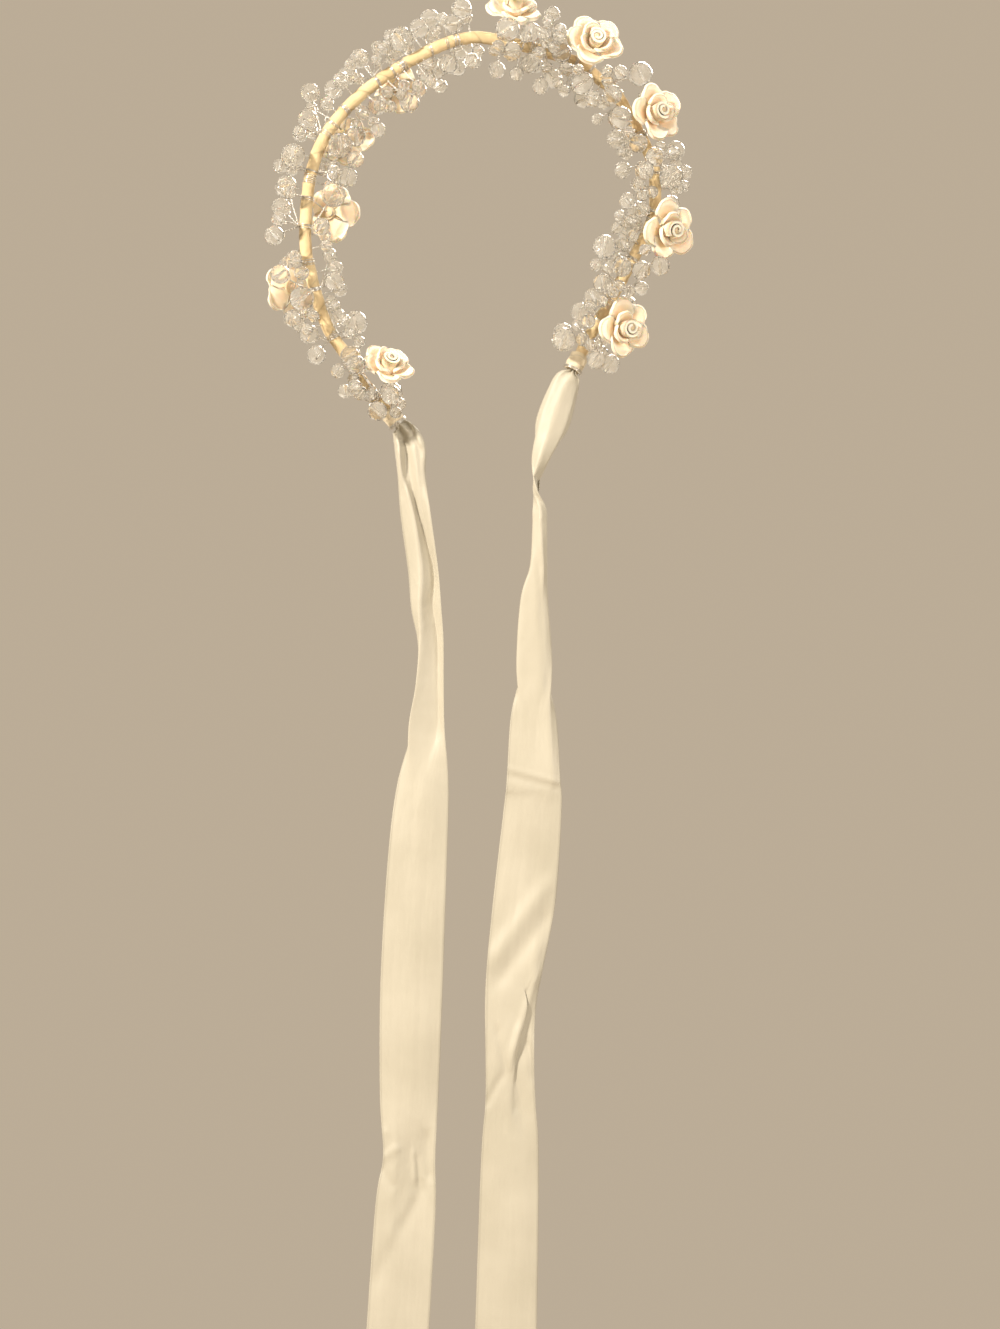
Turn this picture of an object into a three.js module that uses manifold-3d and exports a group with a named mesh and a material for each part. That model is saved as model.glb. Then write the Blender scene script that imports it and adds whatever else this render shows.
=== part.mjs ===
// A bridal halo headband: an open hoop wrapped in ribbon tape, set all round with clay roses and
// sprays of clear faceted beads on wire, with a long satin ribbon bound to each of its two ends.
// The origin is the underside of the hoop's crown, where it hangs. X is to the right, Z is up, and
// the viewer stands on the side of negative Y. The hoop lies in its own plane, turned about Z.

import * as THREE from "three";
import { mergeVertices } from "three/addons/utils/BufferGeometryUtils.js";
import Module from "manifold-3d";

const wasm = await Module();
wasm.setup();

// Driving dimensions, in millimetres and degrees
const clearance = 0.3; // between pieces that touch
const hoopWidth = 144.5; // across the hoop, centre to centre of the wrapped wire
const hoopHeight = 155; // from the crown down to the lower end, centre to centre
const hoopTurn = 11; // the left side stands nearer the viewer than the right
const hoopRadius = 2.5; // of the wire with its tape
const hoopSides = 8;
const wrapPitch = 10.6; // length of hoop that one visible turn of tape covers
const wrapDip = 0.3; // how far the tape dips where one turn meets the next
const beadSmall = 6;
const beadMiddle = 8;
const beadLarge = 10;
const beadSides = 10;
const beadGap = 0.1; // kept between the beads of one spray
const wireRadius = 0.5; // of a twisted pair
const wireSides = 5;
const bandWidth = 2; // of the few turns of wire that bind a spray or a rose to the hoop
const bandWall = 0.8;
const bandSides = 7;
const roseWidth = 21;
const roseDepth = 13;
const petalCount = 5; // in each ring of a rose's petals
const petalFacetCount = 2;
const footDepth = 0.4; // how far below a rose's middle its stem goes in, as a share of its depth
const sleeveLength = 8; // of the tape that binds a ribbon to the hoop's end
const sleeveGrip = 5; // how much of it lies on the hoop
const sleeveWall = 0.9;
const sleeveSides = 10;
const ribbonWidth = 25.4;
const ribbonWall = 1;
const ribbonDrop = 532; // from the hang point down to the ribbons' ends
const neckWide = 3.7; // across the middles of the gathered neck's two edges
const neckDeep = 4.2; // from its front to its back
const neckEdge = 2.2; // the same at its two edges
const neckFlare = 2.2; // how far past its sleeve the neck starts to open
const flareWide = 0.34; // shares of the ribbon's width and of its wall that it opens to there
const flareDeep = 0.1;
const flareWalls = 2.4;

// The hoop's centreline, from its left end over the crown to its right end: across from the hang
// point as a share of the width, and down from the crown as a share of the height.
const hoopOutline = [
  { across: -0.25, down: 1.0 },
  { across: -0.331, down: 0.913 },
  { across: -0.382, down: 0.841 },
  { across: -0.441, down: 0.757 },
  { across: -0.485, down: 0.623 },
  { across: -0.499, down: 0.528 },
  { across: -0.484, down: 0.373 },
  { across: -0.432, down: 0.254 },
  { across: -0.328, down: 0.147 },
  { across: -0.174, down: 0.05 },
  { across: -0.043, down: 0.0 },
  { across: 0.086, down: 0.008 },
  { across: 0.268, down: 0.05 },
  { across: 0.34, down: 0.095 },
  { across: 0.392, down: 0.135 },
  { across: 0.485, down: 0.288 },
  { across: 0.501, down: 0.367 },
  { across: 0.492, down: 0.46 },
  { across: 0.427, down: 0.582 },
  { across: 0.317, down: 0.761 },
  { across: 0.268, down: 0.849 },
];

// The roses. At is the share of the hoop's length from its left end, roll the side of the hoop it
// stands on (0 to the viewer, 90 outwards, 180 behind, -90 inwards) and reach how far its middle
// stands off, as a share of its width. Face is the side it looks to, lean how far it looks along
// the hoop, and size is a share of the rose's sizes.
const roses = [
  { at: 0.05, roll: -64, reach: 0.62, face: -50, lean: 30, size: 0.95 },
  { at: 0.166, roll: 131, reach: 0.64, face: 150, lean: 5, size: 0.95 },
  { at: 0.242, roll: -123, reach: 0.7, face: -146, lean: 0, size: 0.95 },
  { at: 0.336, roll: -142, reach: 0.66, face: -152, lean: -6, size: 0.97 },
  { at: 0.419, roll: -150, reach: 0.64, face: -152, lean: 6, size: 0.95 },
  { at: 0.5515, roll: 85, reach: 0.73, face: 80, lean: 0, size: 1.0 },
  { at: 0.633, roll: 45, reach: 0.61, face: 14, lean: -6, size: 1.0 },
  { at: 0.72, roll: 40, reach: 0.61, face: 20, lean: 4, size: 1.0 },
  { at: 0.832, roll: 34, reach: 0.61, face: 20, lean: 0, size: 1.05 },
  { at: 0.943, roll: 48, reach: 0.66, face: 18, lean: -5, size: 1.02 },
];

// The sprays of beads. Start and stop are shares of the hoop's length. The beads stand in two
// groups, outside the hoop and inside it, each turned so many degrees to the front, and reach is
// how far their middles stand off, as a share of the largest bead.
const sprays = [
  { start: 0.0, stop: 0.09, outer: 2, inner: 5, front: 55, reach: 1.15 },
  { start: 0.09, stop: 0.138, outer: 3, inner: 2, front: -15, reach: 1.25 },
  { start: 0.138, stop: 0.202, outer: 2, inner: 2, front: 5, reach: 1.35 },
  { start: 0.202, stop: 0.272, outer: 4, inner: 1, front: -5, reach: 1.35 },
  { start: 0.272, stop: 0.3, outer: 2, inner: 2, front: -10, reach: 1.5 },
  { start: 0.3, stop: 0.376, outer: 4, inner: 3, front: -5, reach: 1.5 },
  { start: 0.376, stop: 0.456, outer: 4, inner: 3, front: -5, reach: 1.45 },
  { start: 0.456, stop: 0.49, outer: 3, inner: 2, front: -15, reach: 1.25 },
  { start: 0.49, stop: 0.518, outer: 2, inner: 2, front: -10, reach: 1.2 },
  { start: 0.532, stop: 0.596, outer: 2, inner: 3, front: 45, reach: 1.05 },
  { start: 0.596, stop: 0.664, outer: 1, inner: 5, front: 30, reach: 1.0 },
  { start: 0.664, stop: 0.692, outer: 2, inner: 2, front: 40, reach: 1.3 },
  { start: 0.692, stop: 0.75, outer: 1, inner: 5, front: 30, reach: 1.0 },
  { start: 0.75, stop: 0.797, outer: 3, inner: 3, front: 45, reach: 1.3 },
  { start: 0.797, stop: 0.858, outer: 1, inner: 4, front: 30, reach: 1.0 },
  { start: 0.858, stop: 0.904, outer: 3, inner: 3, front: 40, reach: 1.4 },
  { start: 0.904, stop: 0.966, outer: 1, inner: 4, front: 30, reach: 1.0 },
  { start: 0.966, stop: 1.0, outer: 3, inner: 3, front: 35, reach: 1.3 },
];
const groupSpread = 38; // to either side of a group's middle
const sprayBand = 0.3; // share of a spray's run at which it is bound on
const roseBand = 0.72; // share of a spray's run at which the rose in it is bound on
const beadOrder = [beadMiddle, beadSmall, beadLarge, beadMiddle, beadSmall, beadMiddle, beadMiddle];
const beadOrderStepCount = 3; // beads by which each spray starts later in the order
const beadReaches = [0.65, 1, 0.8]; // shares of the spray's reach that its beads take in turn
const runStart = 0.2; // share of the spray's run where its first bead stands
const runStep = 0.382; // from each bead to the next along the run, past its end from the start
const rollStart = 0.1; // the same for the beads' places across their group
const rollStep = 0.618;
const rollShift = 0.27; // from each spray to the next
const settleRounds = 60;
const stemChecks = [0.3, 0.7]; // shares of a rose's stem at which other stems keep clear of it
const sleeveChecks = [-0.8, -0.4, 0, 0.5, 1]; // the same along a sleeve, in lengths of its grip

// The rings of a rose, from its stem up: wide is a share of its half width, high a share of its
// depth, scallop how far the petals stand out and shift how far they are turned, in petals.
const roseRings = [
  { wide: 0.24, high: -0.5, scallop: 0, shift: 0 },
  { wide: 0.78, high: -0.2, scallop: 0.04, shift: 0 },
  { wide: 0.93, high: 0.1, scallop: 0.075, shift: 0 },
  { wide: 0.7, high: 0.02, scallop: 0.05, shift: 0.2 },
  { wide: 0.64, high: 0.33, scallop: 0.1, shift: 0.5 },
  { wide: 0.43, high: 0.2, scallop: 0.05, shift: 0.6 },
  { wide: 0.36, high: 0.5, scallop: 0.1, shift: 0.9 },
  { wide: 0.13, high: 0.38, scallop: 0, shift: 1 },
];

// The ribbons below their necks. Down is the share of the ribbon's length, shift how far its
// middle lies to the right of the hoop's end and back how far behind it, as shares of its width.
// Wide is the share of its width that is open to the viewer, deep the depth of its folds as a
// share of its width, walls its thickness as a share of the wall, and form how it is folded.
const leftRibbon = [
  { down: 0.03, shift: 0.27, back: 0.0, wide: 0.53, deep: 0.16, walls: 1.6, form: "creased" },
  { down: 0.06, shift: 0.29, back: 0.0, wide: 0.45, deep: 0.2, walls: 1, form: "creased" },
  { down: 0.1, shift: 0.34, back: 0.0, wide: 0.48, deep: 0.22, walls: 1, form: "pleatedMiddle" },
  { down: 0.16, shift: 0.46, back: 0.02, wide: 0.48, deep: 0.24, walls: 1, form: "pleatedRight" },
  { down: 0.2, shift: 0.51, back: 0.03, wide: 0.48, deep: 0.24, walls: 1, form: "pleatedWide" },
  { down: 0.235, shift: 0.58, back: 0.04, wide: 0.41, deep: 0.22, walls: 1, form: "pleatedLeft" },
  { down: 0.285, shift: 0.56, back: 0.05, wide: 0.46, deep: 0.2, walls: 1, form: "foldedUnder" },
  { down: 0.33, shift: 0.51, back: 0.05, wide: 0.59, deep: 0.16, walls: 1, form: "foldedUnder" },
  { down: 0.39, shift: 0.46, back: 0.04, wide: 0.82, deep: 0.08, walls: 1, form: "bowed" },
  { down: 0.47, shift: 0.37, back: 0.02, wide: 0.94, deep: 0.05, walls: 1, form: "bowed" },
  { down: 0.6, shift: 0.28, back: 0.0, wide: 0.99, deep: 0.04, walls: 1, form: "bowed" },
  { down: 0.72, shift: 0.24, back: 0.02, wide: 0.93, deep: 0.06, walls: 1, form: "bowed" },
  { down: 0.785, shift: 0.24, back: 0.05, wide: 0.83, deep: 0.1, walls: 1, form: "waved" },
  { down: 0.84, shift: 0.18, back: 0.03, wide: 0.96, deep: 0.05, walls: 1, form: "waved" },
  { down: 1.0, shift: 0.03, back: 0.0, wide: 1.0, deep: 0.03, walls: 1, form: "bowed" },
];
const rightRibbon = [
  { down: 0.024, shift: -0.18, back: 0.0, wide: 0.46, deep: 0.16, walls: 1.4, form: "domed" },
  { down: 0.062, shift: -0.38, back: 0.0, wide: 0.52, deep: 0.2, walls: 1, form: "domed" },
  { down: 0.096, shift: -0.56, back: 0.0, wide: 0.3, deep: 0.24, walls: 1, form: "rolled" },
  { down: 0.126, shift: -0.63, back: 0.0, wide: 0.15, deep: 0.32, walls: 1, form: "edgeOn" },
  { down: 0.142, shift: -0.58, back: 0.0, wide: 0.23, deep: 0.24, walls: 1, form: "turnedRoll" },
  { down: 0.165, shift: -0.57, back: 0.0, wide: 0.24, deep: 0.24, walls: 1, form: "turnedRoll" },
  { down: 0.205, shift: -0.59, back: 0.02, wide: 0.29, deep: 0.22, walls: 1, form: "turnedRidge" },
  { down: 0.24, shift: -0.66, back: 0.03, wide: 0.47, deep: 0.2, walls: 1, form: "turnedRidge" },
  { down: 0.305, shift: -0.66, back: 0.03, wide: 0.61, deep: 0.17, walls: 1, form: "turnedRidge" },
  { down: 0.355, shift: -0.67, back: 0.01, wide: 0.72, deep: 0.13, walls: 1, form: "turnedLip" },
  { down: 0.42, shift: -0.67, back: -0.03, wide: 0.86, deep: 0.07, walls: 1, form: "turnedLip" },
  { down: 0.45, shift: -0.68, back: 0.02, wide: 0.93, deep: 0.05, walls: 1, form: "turnedBow" },
  { down: 0.54, shift: -0.81, back: 0.03, wide: 1.0, deep: 0.04, walls: 1, form: "turnedBow" },
  { down: 0.61, shift: -0.97, back: 0.0, wide: 0.9, deep: 0.09, walls: 1, form: "turnedLip" },
  { down: 0.65, shift: -1.04, back: 0.0, wide: 0.82, deep: 0.13, walls: 1, form: "tucked" },
  { down: 0.703, shift: -1.05, back: 0.02, wide: 0.78, deep: 0.12, walls: 1, form: "tuckedDeep" },
  { down: 0.75, shift: -1.04, back: 0.04, wide: 0.81, deep: 0.1, walls: 1, form: "turnedWave" },
  { down: 0.81, shift: -1.05, back: 0.02, wide: 0.93, deep: 0.06, walls: 1, form: "turnedBow" },
  { down: 1.0, shift: -1.12, back: 0.0, wide: 1.0, deep: 0.03, walls: 1, form: "turnedBow" },
];
// The forms: five places from the ribbon's first edge to its other, each as a share of half the
// open width to the right and a share of the folds' depth behind the middle. A turned form has
// its first edge on the right.
const ribbonForms = {
  gathered: { across: [-1, -0.5, 0, 0.5, 1], behind: [0, 0, 0, 0, 0] },
  creased: { across: [-1, -0.6, -0.1, 0.45, 1], behind: [0.2, -0.5, 0.5, -0.3, 0.1] },
  pleatedMiddle: { across: [-1, -0.1, 0.12, 0.55, 1], behind: [0.5, -0.5, 0.5, 0, -0.5] },
  pleatedRight: { across: [-1, -0.16, 0.7, 0.85, 1], behind: [0.5, -0.5, 0.5, 0, -0.4] },
  pleatedWide: { across: [-1, -0.46, 0.44, 0.72, 1], behind: [0.4, -0.5, 0.5, 0, -0.4] },
  pleatedLeft: { across: [-1, -0.84, 0.5, 0.75, 1], behind: [0.2, -0.5, 0.5, 0.1, -0.4] },
  foldedUnder: { across: [-0.7, -1, 0.56, 0.8, 1], behind: [0.1, -0.4, 0.5, 0.1, -0.3] },
  bowed: { across: [-1, -0.5, 0, 0.5, 1], behind: [0.4, -0.2, -0.5, -0.3, 0.4] },
  waved: { across: [-1, -0.5, 0, 0.5, 1], behind: [0.3, -0.5, 0.2, 0.5, -0.4] },
  domed: { across: [-1, -0.75, 0, 0.8, 1], behind: [0.5, -0.1, -0.5, -0.1, 0.5] },
  rolled: { across: [-0.4, -1, -0.1, 1, 0.3], behind: [0.5, 0.1, -0.5, 0, 0.5] },
  edgeOn: { across: [0.9, -0.9, 0.9, -0.9, 0.9], behind: [-0.5, -0.25, 0, 0.25, 0.5] },
  turnedRoll: { across: [0.3, 1, 0.1, -1, -0.4], behind: [0.5, 0, -0.5, 0.1, 0.5] },
  turnedRidge: { across: [0.5, 1, 0.5, -1, -0.6], behind: [0.5, 0.15, -0.5, -0.1, 0.4] },
  turnedLip: { across: [1, 0.7, 0.1, -0.5, -1], behind: [0.5, -0.5, -0.2, -0.1, 0.2] },
  turnedBow: { across: [1, 0.5, 0, -0.5, -1], behind: [0.4, -0.3, -0.5, -0.2, 0.4] },
  tucked: { across: [1, 0.3, 0.72, -0.2, -1], behind: [0.2, 0.5, -0.4, -0.3, 0] },
  tuckedDeep: { across: [1, -0.2, 0.1, -0.5, -1], behind: [0.1, 0.5, -0.4, -0.3, 0] },
  turnedWave: { across: [1, 0.4, 0, -0.5, -1], behind: [0, 0.5, -0.4, -0.1, 0.1] },
};
const sectionCount = 2; // from each row to the next

const tape = new THREE.MeshStandardMaterial({ color: 0xf1dcae, roughness: 0.7, metalness: 0 });
const satin = new THREE.MeshStandardMaterial({ color: 0xf3e4c6, roughness: 0.45, metalness: 0 });
const clay = new THREE.MeshStandardMaterial({ color: 0xfbe6cd, roughness: 0.6, metalness: 0 });
const crystal = new THREE.MeshStandardMaterial({ color: 0xd8d4c8, roughness: 0.08, metalness: 0 });

const front = new THREE.Vector3(0, -1, 0);
const vertical = new THREE.Vector3(0, 0, 1);
const radians = THREE.MathUtils.degToRad;
const fraction = (value) => value - Math.floor(value);
const twoDigits = (number) => String(number).padStart(2, "0");

const hoopCurve = new THREE.CatmullRomCurve3(
  hoopOutline.map(
    (row) => new THREE.Vector3(row.across * hoopWidth, 0, hoopRadius - row.down * hoopHeight),
  ),
  false,
  "catmullrom",
  0.5,
);
const hoopLength = hoopCurve.getLength();

// The hoop's point at a share of its length, with the directions along it and outwards.
function hoopFrame(share) {
  const along = hoopCurve.getTangentAt(share);
  const out = new THREE.Vector3(-along.z, 0, along.x);
  return { point: hoopCurve.getPointAt(share), along, out };
}

// The direction square to the hoop on the side that a roll names.
function sideways(frame, roll) {
  return frame.out
    .clone()
    .multiplyScalar(Math.sin(radians(roll)))
    .addScaledVector(front, Math.cos(radians(roll)));
}

// A closed geometry over rings of equal count that turn counter-clockwise about the way they
// run. Ladder caps join each ring's two halves. Without them the caps fan out from the rings'
// middles, or at the far end from a tip.
function skin(rings, ladderCaps, tip) {
  const count = rings[0].length;
  const points = rings.flat();
  const faces = [];
  for (let i = 0; i + 1 < rings.length; i++) {
    for (let j = 0; j < count; j++) {
      const a = i * count + j;
      const b = i * count + ((j + 1) % count);
      faces.push(a, b, b + count, a, b + count, a + count);
    }
  }
  const last = (rings.length - 1) * count;
  if (ladderCaps) {
    for (let j = 0; j + 1 < count / 2; j++) {
      const [a, b, c, d] = [j, j + 1, count - 2 - j, count - 1 - j];
      faces.push(a, c, b, a, d, c);
      faces.push(last + a, last + b, last + c, last + a, last + c, last + d);
    }
  } else {
    for (const [first, lower] of [[0, true], [last, false]]) {
      const middle = new THREE.Vector3();
      for (let j = 0; j < count; j++) {
        middle.addScaledVector(points[first + j], 1 / count);
        const [a, b] = [first + j, first + ((j + 1) % count)];
        faces.push(points.length, lower ? b : a, lower ? a : b);
      }
      points.push(tip && !lower ? tip : middle);
    }
  }
  const geometry = new THREE.BufferGeometry().setFromPoints(points);
  geometry.setIndex(faces);
  return geometry;
}

// The geometry, moved to a place with its Z axis along a direction.
function placed(geometry, point, direction) {
  const turn = new THREE.Quaternion().setFromUnitVectors(vertical, direction.clone().normalize());
  return geometry.applyQuaternion(turn).translate(point.x, point.y, point.z);
}

// The solid of a closed geometry, without the faces whose corners fall together.
const mergeDistance = 1e-4;
function solid(geometry) {
  const bare = new THREE.BufferGeometry();
  bare.setAttribute("position", geometry.getAttribute("position"));
  bare.setIndex(geometry.index);
  const merged = mergeVertices(bare, mergeDistance);
  const corners = [];
  for (let i = 0; i < merged.index.count; i += 3) {
    const [a, b, c] = merged.index.array.slice(i, i + 3);
    if (a !== b && b !== c && c !== a) corners.push(a, b, c);
  }
  const mesh = new wasm.Mesh({
    numProp: 3,
    vertProperties: new Float32Array(merged.attributes.position.array),
    triVerts: new Uint32Array(corners),
  });
  return new wasm.Manifold(mesh);
}

// One mesh of several closed geometries that are joined into one body.
function fused(name, geometries, material) {
  const whole = geometries.map(solid).reduce((sum, next) => sum.add(next));
  const mesh = whole.getMesh();
  const geometry = new THREE.BufferGeometry();
  geometry.setAttribute("position", new THREE.BufferAttribute(mesh.vertProperties, 3));
  geometry.setIndex(new THREE.BufferAttribute(mesh.triVerts, 1));
  return named(name, geometry, material);
}

function named(name, geometry, material) {
  const shaded = geometry.toNonIndexed();
  shaded.computeVertexNormals();
  const mesh = new THREE.Mesh(shaded, material);
  mesh.name = name;
  return mesh;
}

// The hoop: its tape rises along each turn and drops where the next one covers it.
function makeHoop() {
  const turns = Math.round(hoopLength / wrapPitch);
  const rings = [];
  for (let step = 0; step <= 2 * turns; step++) {
    const frame = hoopFrame(step / (2 * turns));
    const radius = step % 2 ? hoopRadius : hoopRadius - wrapDip;
    const ring = [];
    for (let side = 0; side < hoopSides; side++) {
      const roll = (-360 * side) / hoopSides;
      ring.push(frame.point.clone().addScaledVector(sideways(frame, roll), radius));
    }
    rings.push(ring);
  }
  return named("hoop", skin(rings, true), tape);
}

// The turns of wire that bind a stem to the hoop, as one band clear of it.
const bandInner = (hoopRadius + clearance) / Math.cos(Math.PI / bandSides);
const bandOuter = bandInner + bandWall;
const rootRadius = (bandInner + bandOuter * Math.cos(Math.PI / bandSides)) / 2;
function wireBand(share) {
  const frame = hoopFrame(share);
  const band = hollowTube(bandInner, bandOuter, -bandWidth / 2, bandWidth / 2, bandSides);
  return placed(band, frame.point, frame.along);
}

// The point at a radius and an angle about Z, at a height.
function roundPoint(radius, angle, height) {
  return new THREE.Vector3(radius * Math.cos(angle), radius * Math.sin(angle), height);
}

// A tube about Z from one height to another.
function hollowTube(inner, outer, low, high, sides) {
  const profile = [
    [inner, low],
    [outer, low],
    [outer, high],
    [inner, high],
    [inner, low],
  ].map(([radius, height]) => new THREE.Vector2(radius, height));
  return new THREE.LatheGeometry(profile, sides).rotateX(Math.PI / 2);
}

function wireBetween(from, to) {
  const run = new THREE.Vector3().subVectors(to, from);
  const wire = new THREE.CylinderGeometry(wireRadius, wireRadius, run.length(), wireSides);
  wire.rotateX(Math.PI / 2);
  return placed(wire, from.clone().addScaledVector(run, 0.5), run);
}

// A round bead on the end of its stem, in one skin: the stem has half as many sides as the bead.
// The rows of its facets' corners are given by latitude.
const wideBeadRows = [-45, 0, 45];
const smallBeadRows = [-28, 28];
function beadOnStem(root, bead) {
  const run = root.distanceTo(bead.at);
  const entry = Math.sqrt(bead.radius ** 2 - wireRadius ** 2);
  const latitudes = bead.radius * 2 > beadSmall ? wideBeadRows : smallBeadRows;
  const profile = [
    { radius: wireRadius, height: 0, sides: beadSides / 2 },
    { radius: wireRadius, height: run - entry, sides: beadSides / 2 },
    ...latitudes.map((latitude) => ({
      radius: bead.radius * Math.cos(radians(latitude)),
      height: run + bead.radius * Math.sin(radians(latitude)),
      sides: beadSides,
    })),
  ];
  const rings = profile.map((row) => {
    const ring = [];
    for (let j = 0; j < beadSides; j++) {
      const corner = Math.floor((j * row.sides) / beadSides);
      const angle = (2 * Math.PI * corner) / row.sides;
      ring.push(roundPoint(row.radius, angle, row.height));
    }
    return ring;
  });
  const tip = new THREE.Vector3(0, 0, run + bead.radius);
  return placed(skin(rings, false, tip), root, new THREE.Vector3().subVectors(bead.at, root));
}

// A rose's middle, facing and stem, from its row.
function rosePlace(row) {
  const frame = hoopFrame(row.at);
  const spray = sprays.find((s) => row.at > s.start && row.at < s.stop);
  const turnAt = alongSpray(spray, roseBand);
  const bind = hoopFrame(turnAt);
  const middle = frame.point
    .clone()
    .addScaledVector(sideways(frame, row.roll), row.reach * roseWidth);
  const facing = sideways(frame, row.face)
    .multiplyScalar(Math.cos(radians(row.lean)))
    .addScaledVector(frame.along, Math.sin(radians(row.lean)));
  const foot = middle.clone().addScaledVector(facing, -footDepth * roseDepth * row.size);
  const stem = bind.point.clone().addScaledVector(sideways(bind, row.roll), rootRadius);
  return { middle, facing, foot, stem, turnAt, radius: (roseWidth / 2) * row.size };
}

function makeRose(row, number) {
  const place = rosePlace(row);
  const count = petalCount * petalFacetCount;
  const depth = roseDepth * row.size;
  const rings = roseRings.map((ring) => {
    const points = [];
    for (let j = 0; j < count; j++) {
      const angle = (2 * Math.PI * j) / count;
      const swell = 1 + ring.scallop * Math.cos(petalCount * angle);
      const turned = angle + (2 * Math.PI * ring.shift) / petalCount;
      points.push(roundPoint(ring.wide * swell * place.radius, turned, ring.high * depth));
    }
    return points;
  });
  const flower = placed(skin(rings, false), place.middle, place.facing);
  const pieces = [flower, wireBand(place.turnAt), wireBetween(place.stem, place.foot)];
  return fused(`rose_${twoDigits(number)}`, pieces, clay);
}

// The balls that beads and stems keep clear of: a rose's flower, its band and its own stem.
function roseObstacles(row) {
  const place = rosePlace(row);
  const bandReach = Math.hypot(bandOuter, bandWidth / 2);
  return [
    { middle: place.middle, radius: place.radius },
    { middle: hoopFrame(place.turnAt).point, radius: bandReach },
    ...stemChecks.map((step) => ({
      middle: place.stem.clone().lerp(place.foot, step),
      radius: wireRadius,
    })),
  ];
}

// The balls that beads and stems keep clear of along the two sleeves.
const sleeveInner = (hoopRadius + clearance) / Math.cos(Math.PI / sleeveSides);
function sleeveObstacles() {
  return [0, 1].flatMap((shareAtEnd) => {
    const frame = hoopFrame(shareAtEnd);
    const onward = shareAtEnd ? 1 : -1;
    return sleeveChecks.map((step) => ({
      middle: frame.point.clone().addScaledVector(frame.along, onward * step * sleeveGrip),
      radius: sleeveInner + sleeveWall,
    }));
  });
}

// Where the stem that runs to a point leaves the band that binds it.
function stemRoot(bind, point) {
  const way = new THREE.Vector3().subVectors(point, bind.point);
  way.addScaledVector(bind.along, -way.dot(bind.along));
  return bind.point.clone().addScaledVector(way.normalize(), rootRadius);
}

// Moves a point away from another until they are a distance apart.
function pushOff(point, from, distance) {
  const way = new THREE.Vector3().subVectors(point, from);
  const short = distance - way.length();
  if (short > 0) point.addScaledVector(way.normalize(), short);
}

// The share of the hoop's length at a share of a spray's run.
function alongSpray(spray, step) {
  return spray.start + step * (spray.stop - spray.start);
}

// The beads of a spray, spread round the hoop and then moved apart, clear of the hoop and the
// roses, and kept between the two planes that cross the hoop at the spray's ends.
function settledBeads(spray, number) {
  const lower = hoopFrame(spray.start);
  const upper = hoopFrame(spray.stop);
  const middle = hoopFrame(alongSpray(spray, 0.5));
  const bind = hoopFrame(alongSpray(spray, sprayBand));
  const runs = [
    new THREE.Line3(lower.point, middle.point),
    new THREE.Line3(middle.point, upper.point),
  ];
  const nearest = (point) => {
    const feet = runs.map((run) => run.closestPointToPoint(point, true, new THREE.Vector3()));
    return feet.reduce((a, b) => (a.distanceTo(point) < b.distanceTo(point) ? a : b));
  };
  const obstacles = [...roses.flatMap(roseObstacles), ...sleeveObstacles()];
  const reach = spray.reach * beadLarge;
  const beads = [];
  for (let i = 0; i < spray.outer + spray.inner; i++) {
    const radius = beadOrder[(i + number * beadOrderStepCount) % beadOrder.length] / 2;
    const frame = hoopFrame(alongSpray(spray, fraction(runStart + i * runStep)));
    const side = i < spray.outer ? 90 - spray.front : spray.front - 90;
    const across = fraction(rollStart + i * rollStep + number * rollShift);
    const roll = side + groupSpread * (2 * across - 1);
    const off = reach * beadReaches[(i + number) % beadReaches.length];
    const at = frame.point.clone().addScaledVector(sideways(frame, roll), off);
    beads.push({ at, radius });
  }
  for (let round = 0; round < settleRounds; round++) {
    for (const bead of beads) {
      for (const other of beads) {
        if (other === bead) continue;
        pushOff(bead.at, other.at, bead.radius + other.radius + beadGap);
      }
    }
    for (const bead of beads) {
      const foot = nearest(bead.at);
      const way = new THREE.Vector3().subVectors(bead.at, foot);
      if (way.length() > reach) bead.at.copy(foot).addScaledVector(way.normalize(), reach);
      pushOff(bead.at, foot, hoopRadius + bead.radius + clearance);
      const root = stemRoot(bind, bead.at);
      for (const obstacle of obstacles) {
        pushOff(bead.at, obstacle.middle, obstacle.radius + bead.radius + clearance);
        const stem = new THREE.Line3(root, bead.at);
        const passing = stem.closestPointToPoint(obstacle.middle, true, new THREE.Vector3());
        const aside = new THREE.Vector3().subVectors(passing, obstacle.middle);
        const short = obstacle.radius + wireRadius + clearance - aside.length();
        if (short > 0) bead.at.addScaledVector(aside.normalize(), short);
      }
      const below = new THREE.Vector3().subVectors(bead.at, lower.point).dot(lower.along);
      const above = new THREE.Vector3().subVectors(upper.point, bead.at).dot(upper.along);
      const margin = bead.radius + clearance / 2;
      if (below < margin) bead.at.addScaledVector(lower.along, margin - below);
      if (above < margin) bead.at.addScaledVector(upper.along, above - margin);
    }
  }
  return beads;
}

function makeSpray(spray, number) {
  const bandAt = alongSpray(spray, sprayBand);
  const bind = hoopFrame(bandAt);
  const pieces = [wireBand(bandAt)];
  for (const bead of settledBeads(spray, number)) {
    pieces.push(beadOnStem(stemRoot(bind, bead.at), bead));
  }
  return fused(`bead_spray_${twoDigits(number)}`, pieces, crystal);
}

// The hoop's end, and the direction that runs on from it, outside the turned group.
function hoopEnd(shareAtEnd) {
  const frame = hoopFrame(shareAtEnd);
  const onward = frame.along.clone().multiplyScalar(shareAtEnd ? 1 : -1);
  const turn = radians(hoopTurn);
  return {
    point: frame.point.clone().applyAxisAngle(vertical, turn),
    onward: onward.applyAxisAngle(vertical, turn),
  };
}

// The sleeve of tape that binds a ribbon's neck to the hoop's end.
function makeSleeve(name, end) {
  const outer = sleeveInner + sleeveWall;
  const tube = hollowTube(sleeveInner, outer, -sleeveGrip, sleeveLength - sleeveGrip, sleeveSides);
  return fused(name, [placed(tube, end.point, end.onward)], tape);
}

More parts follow.
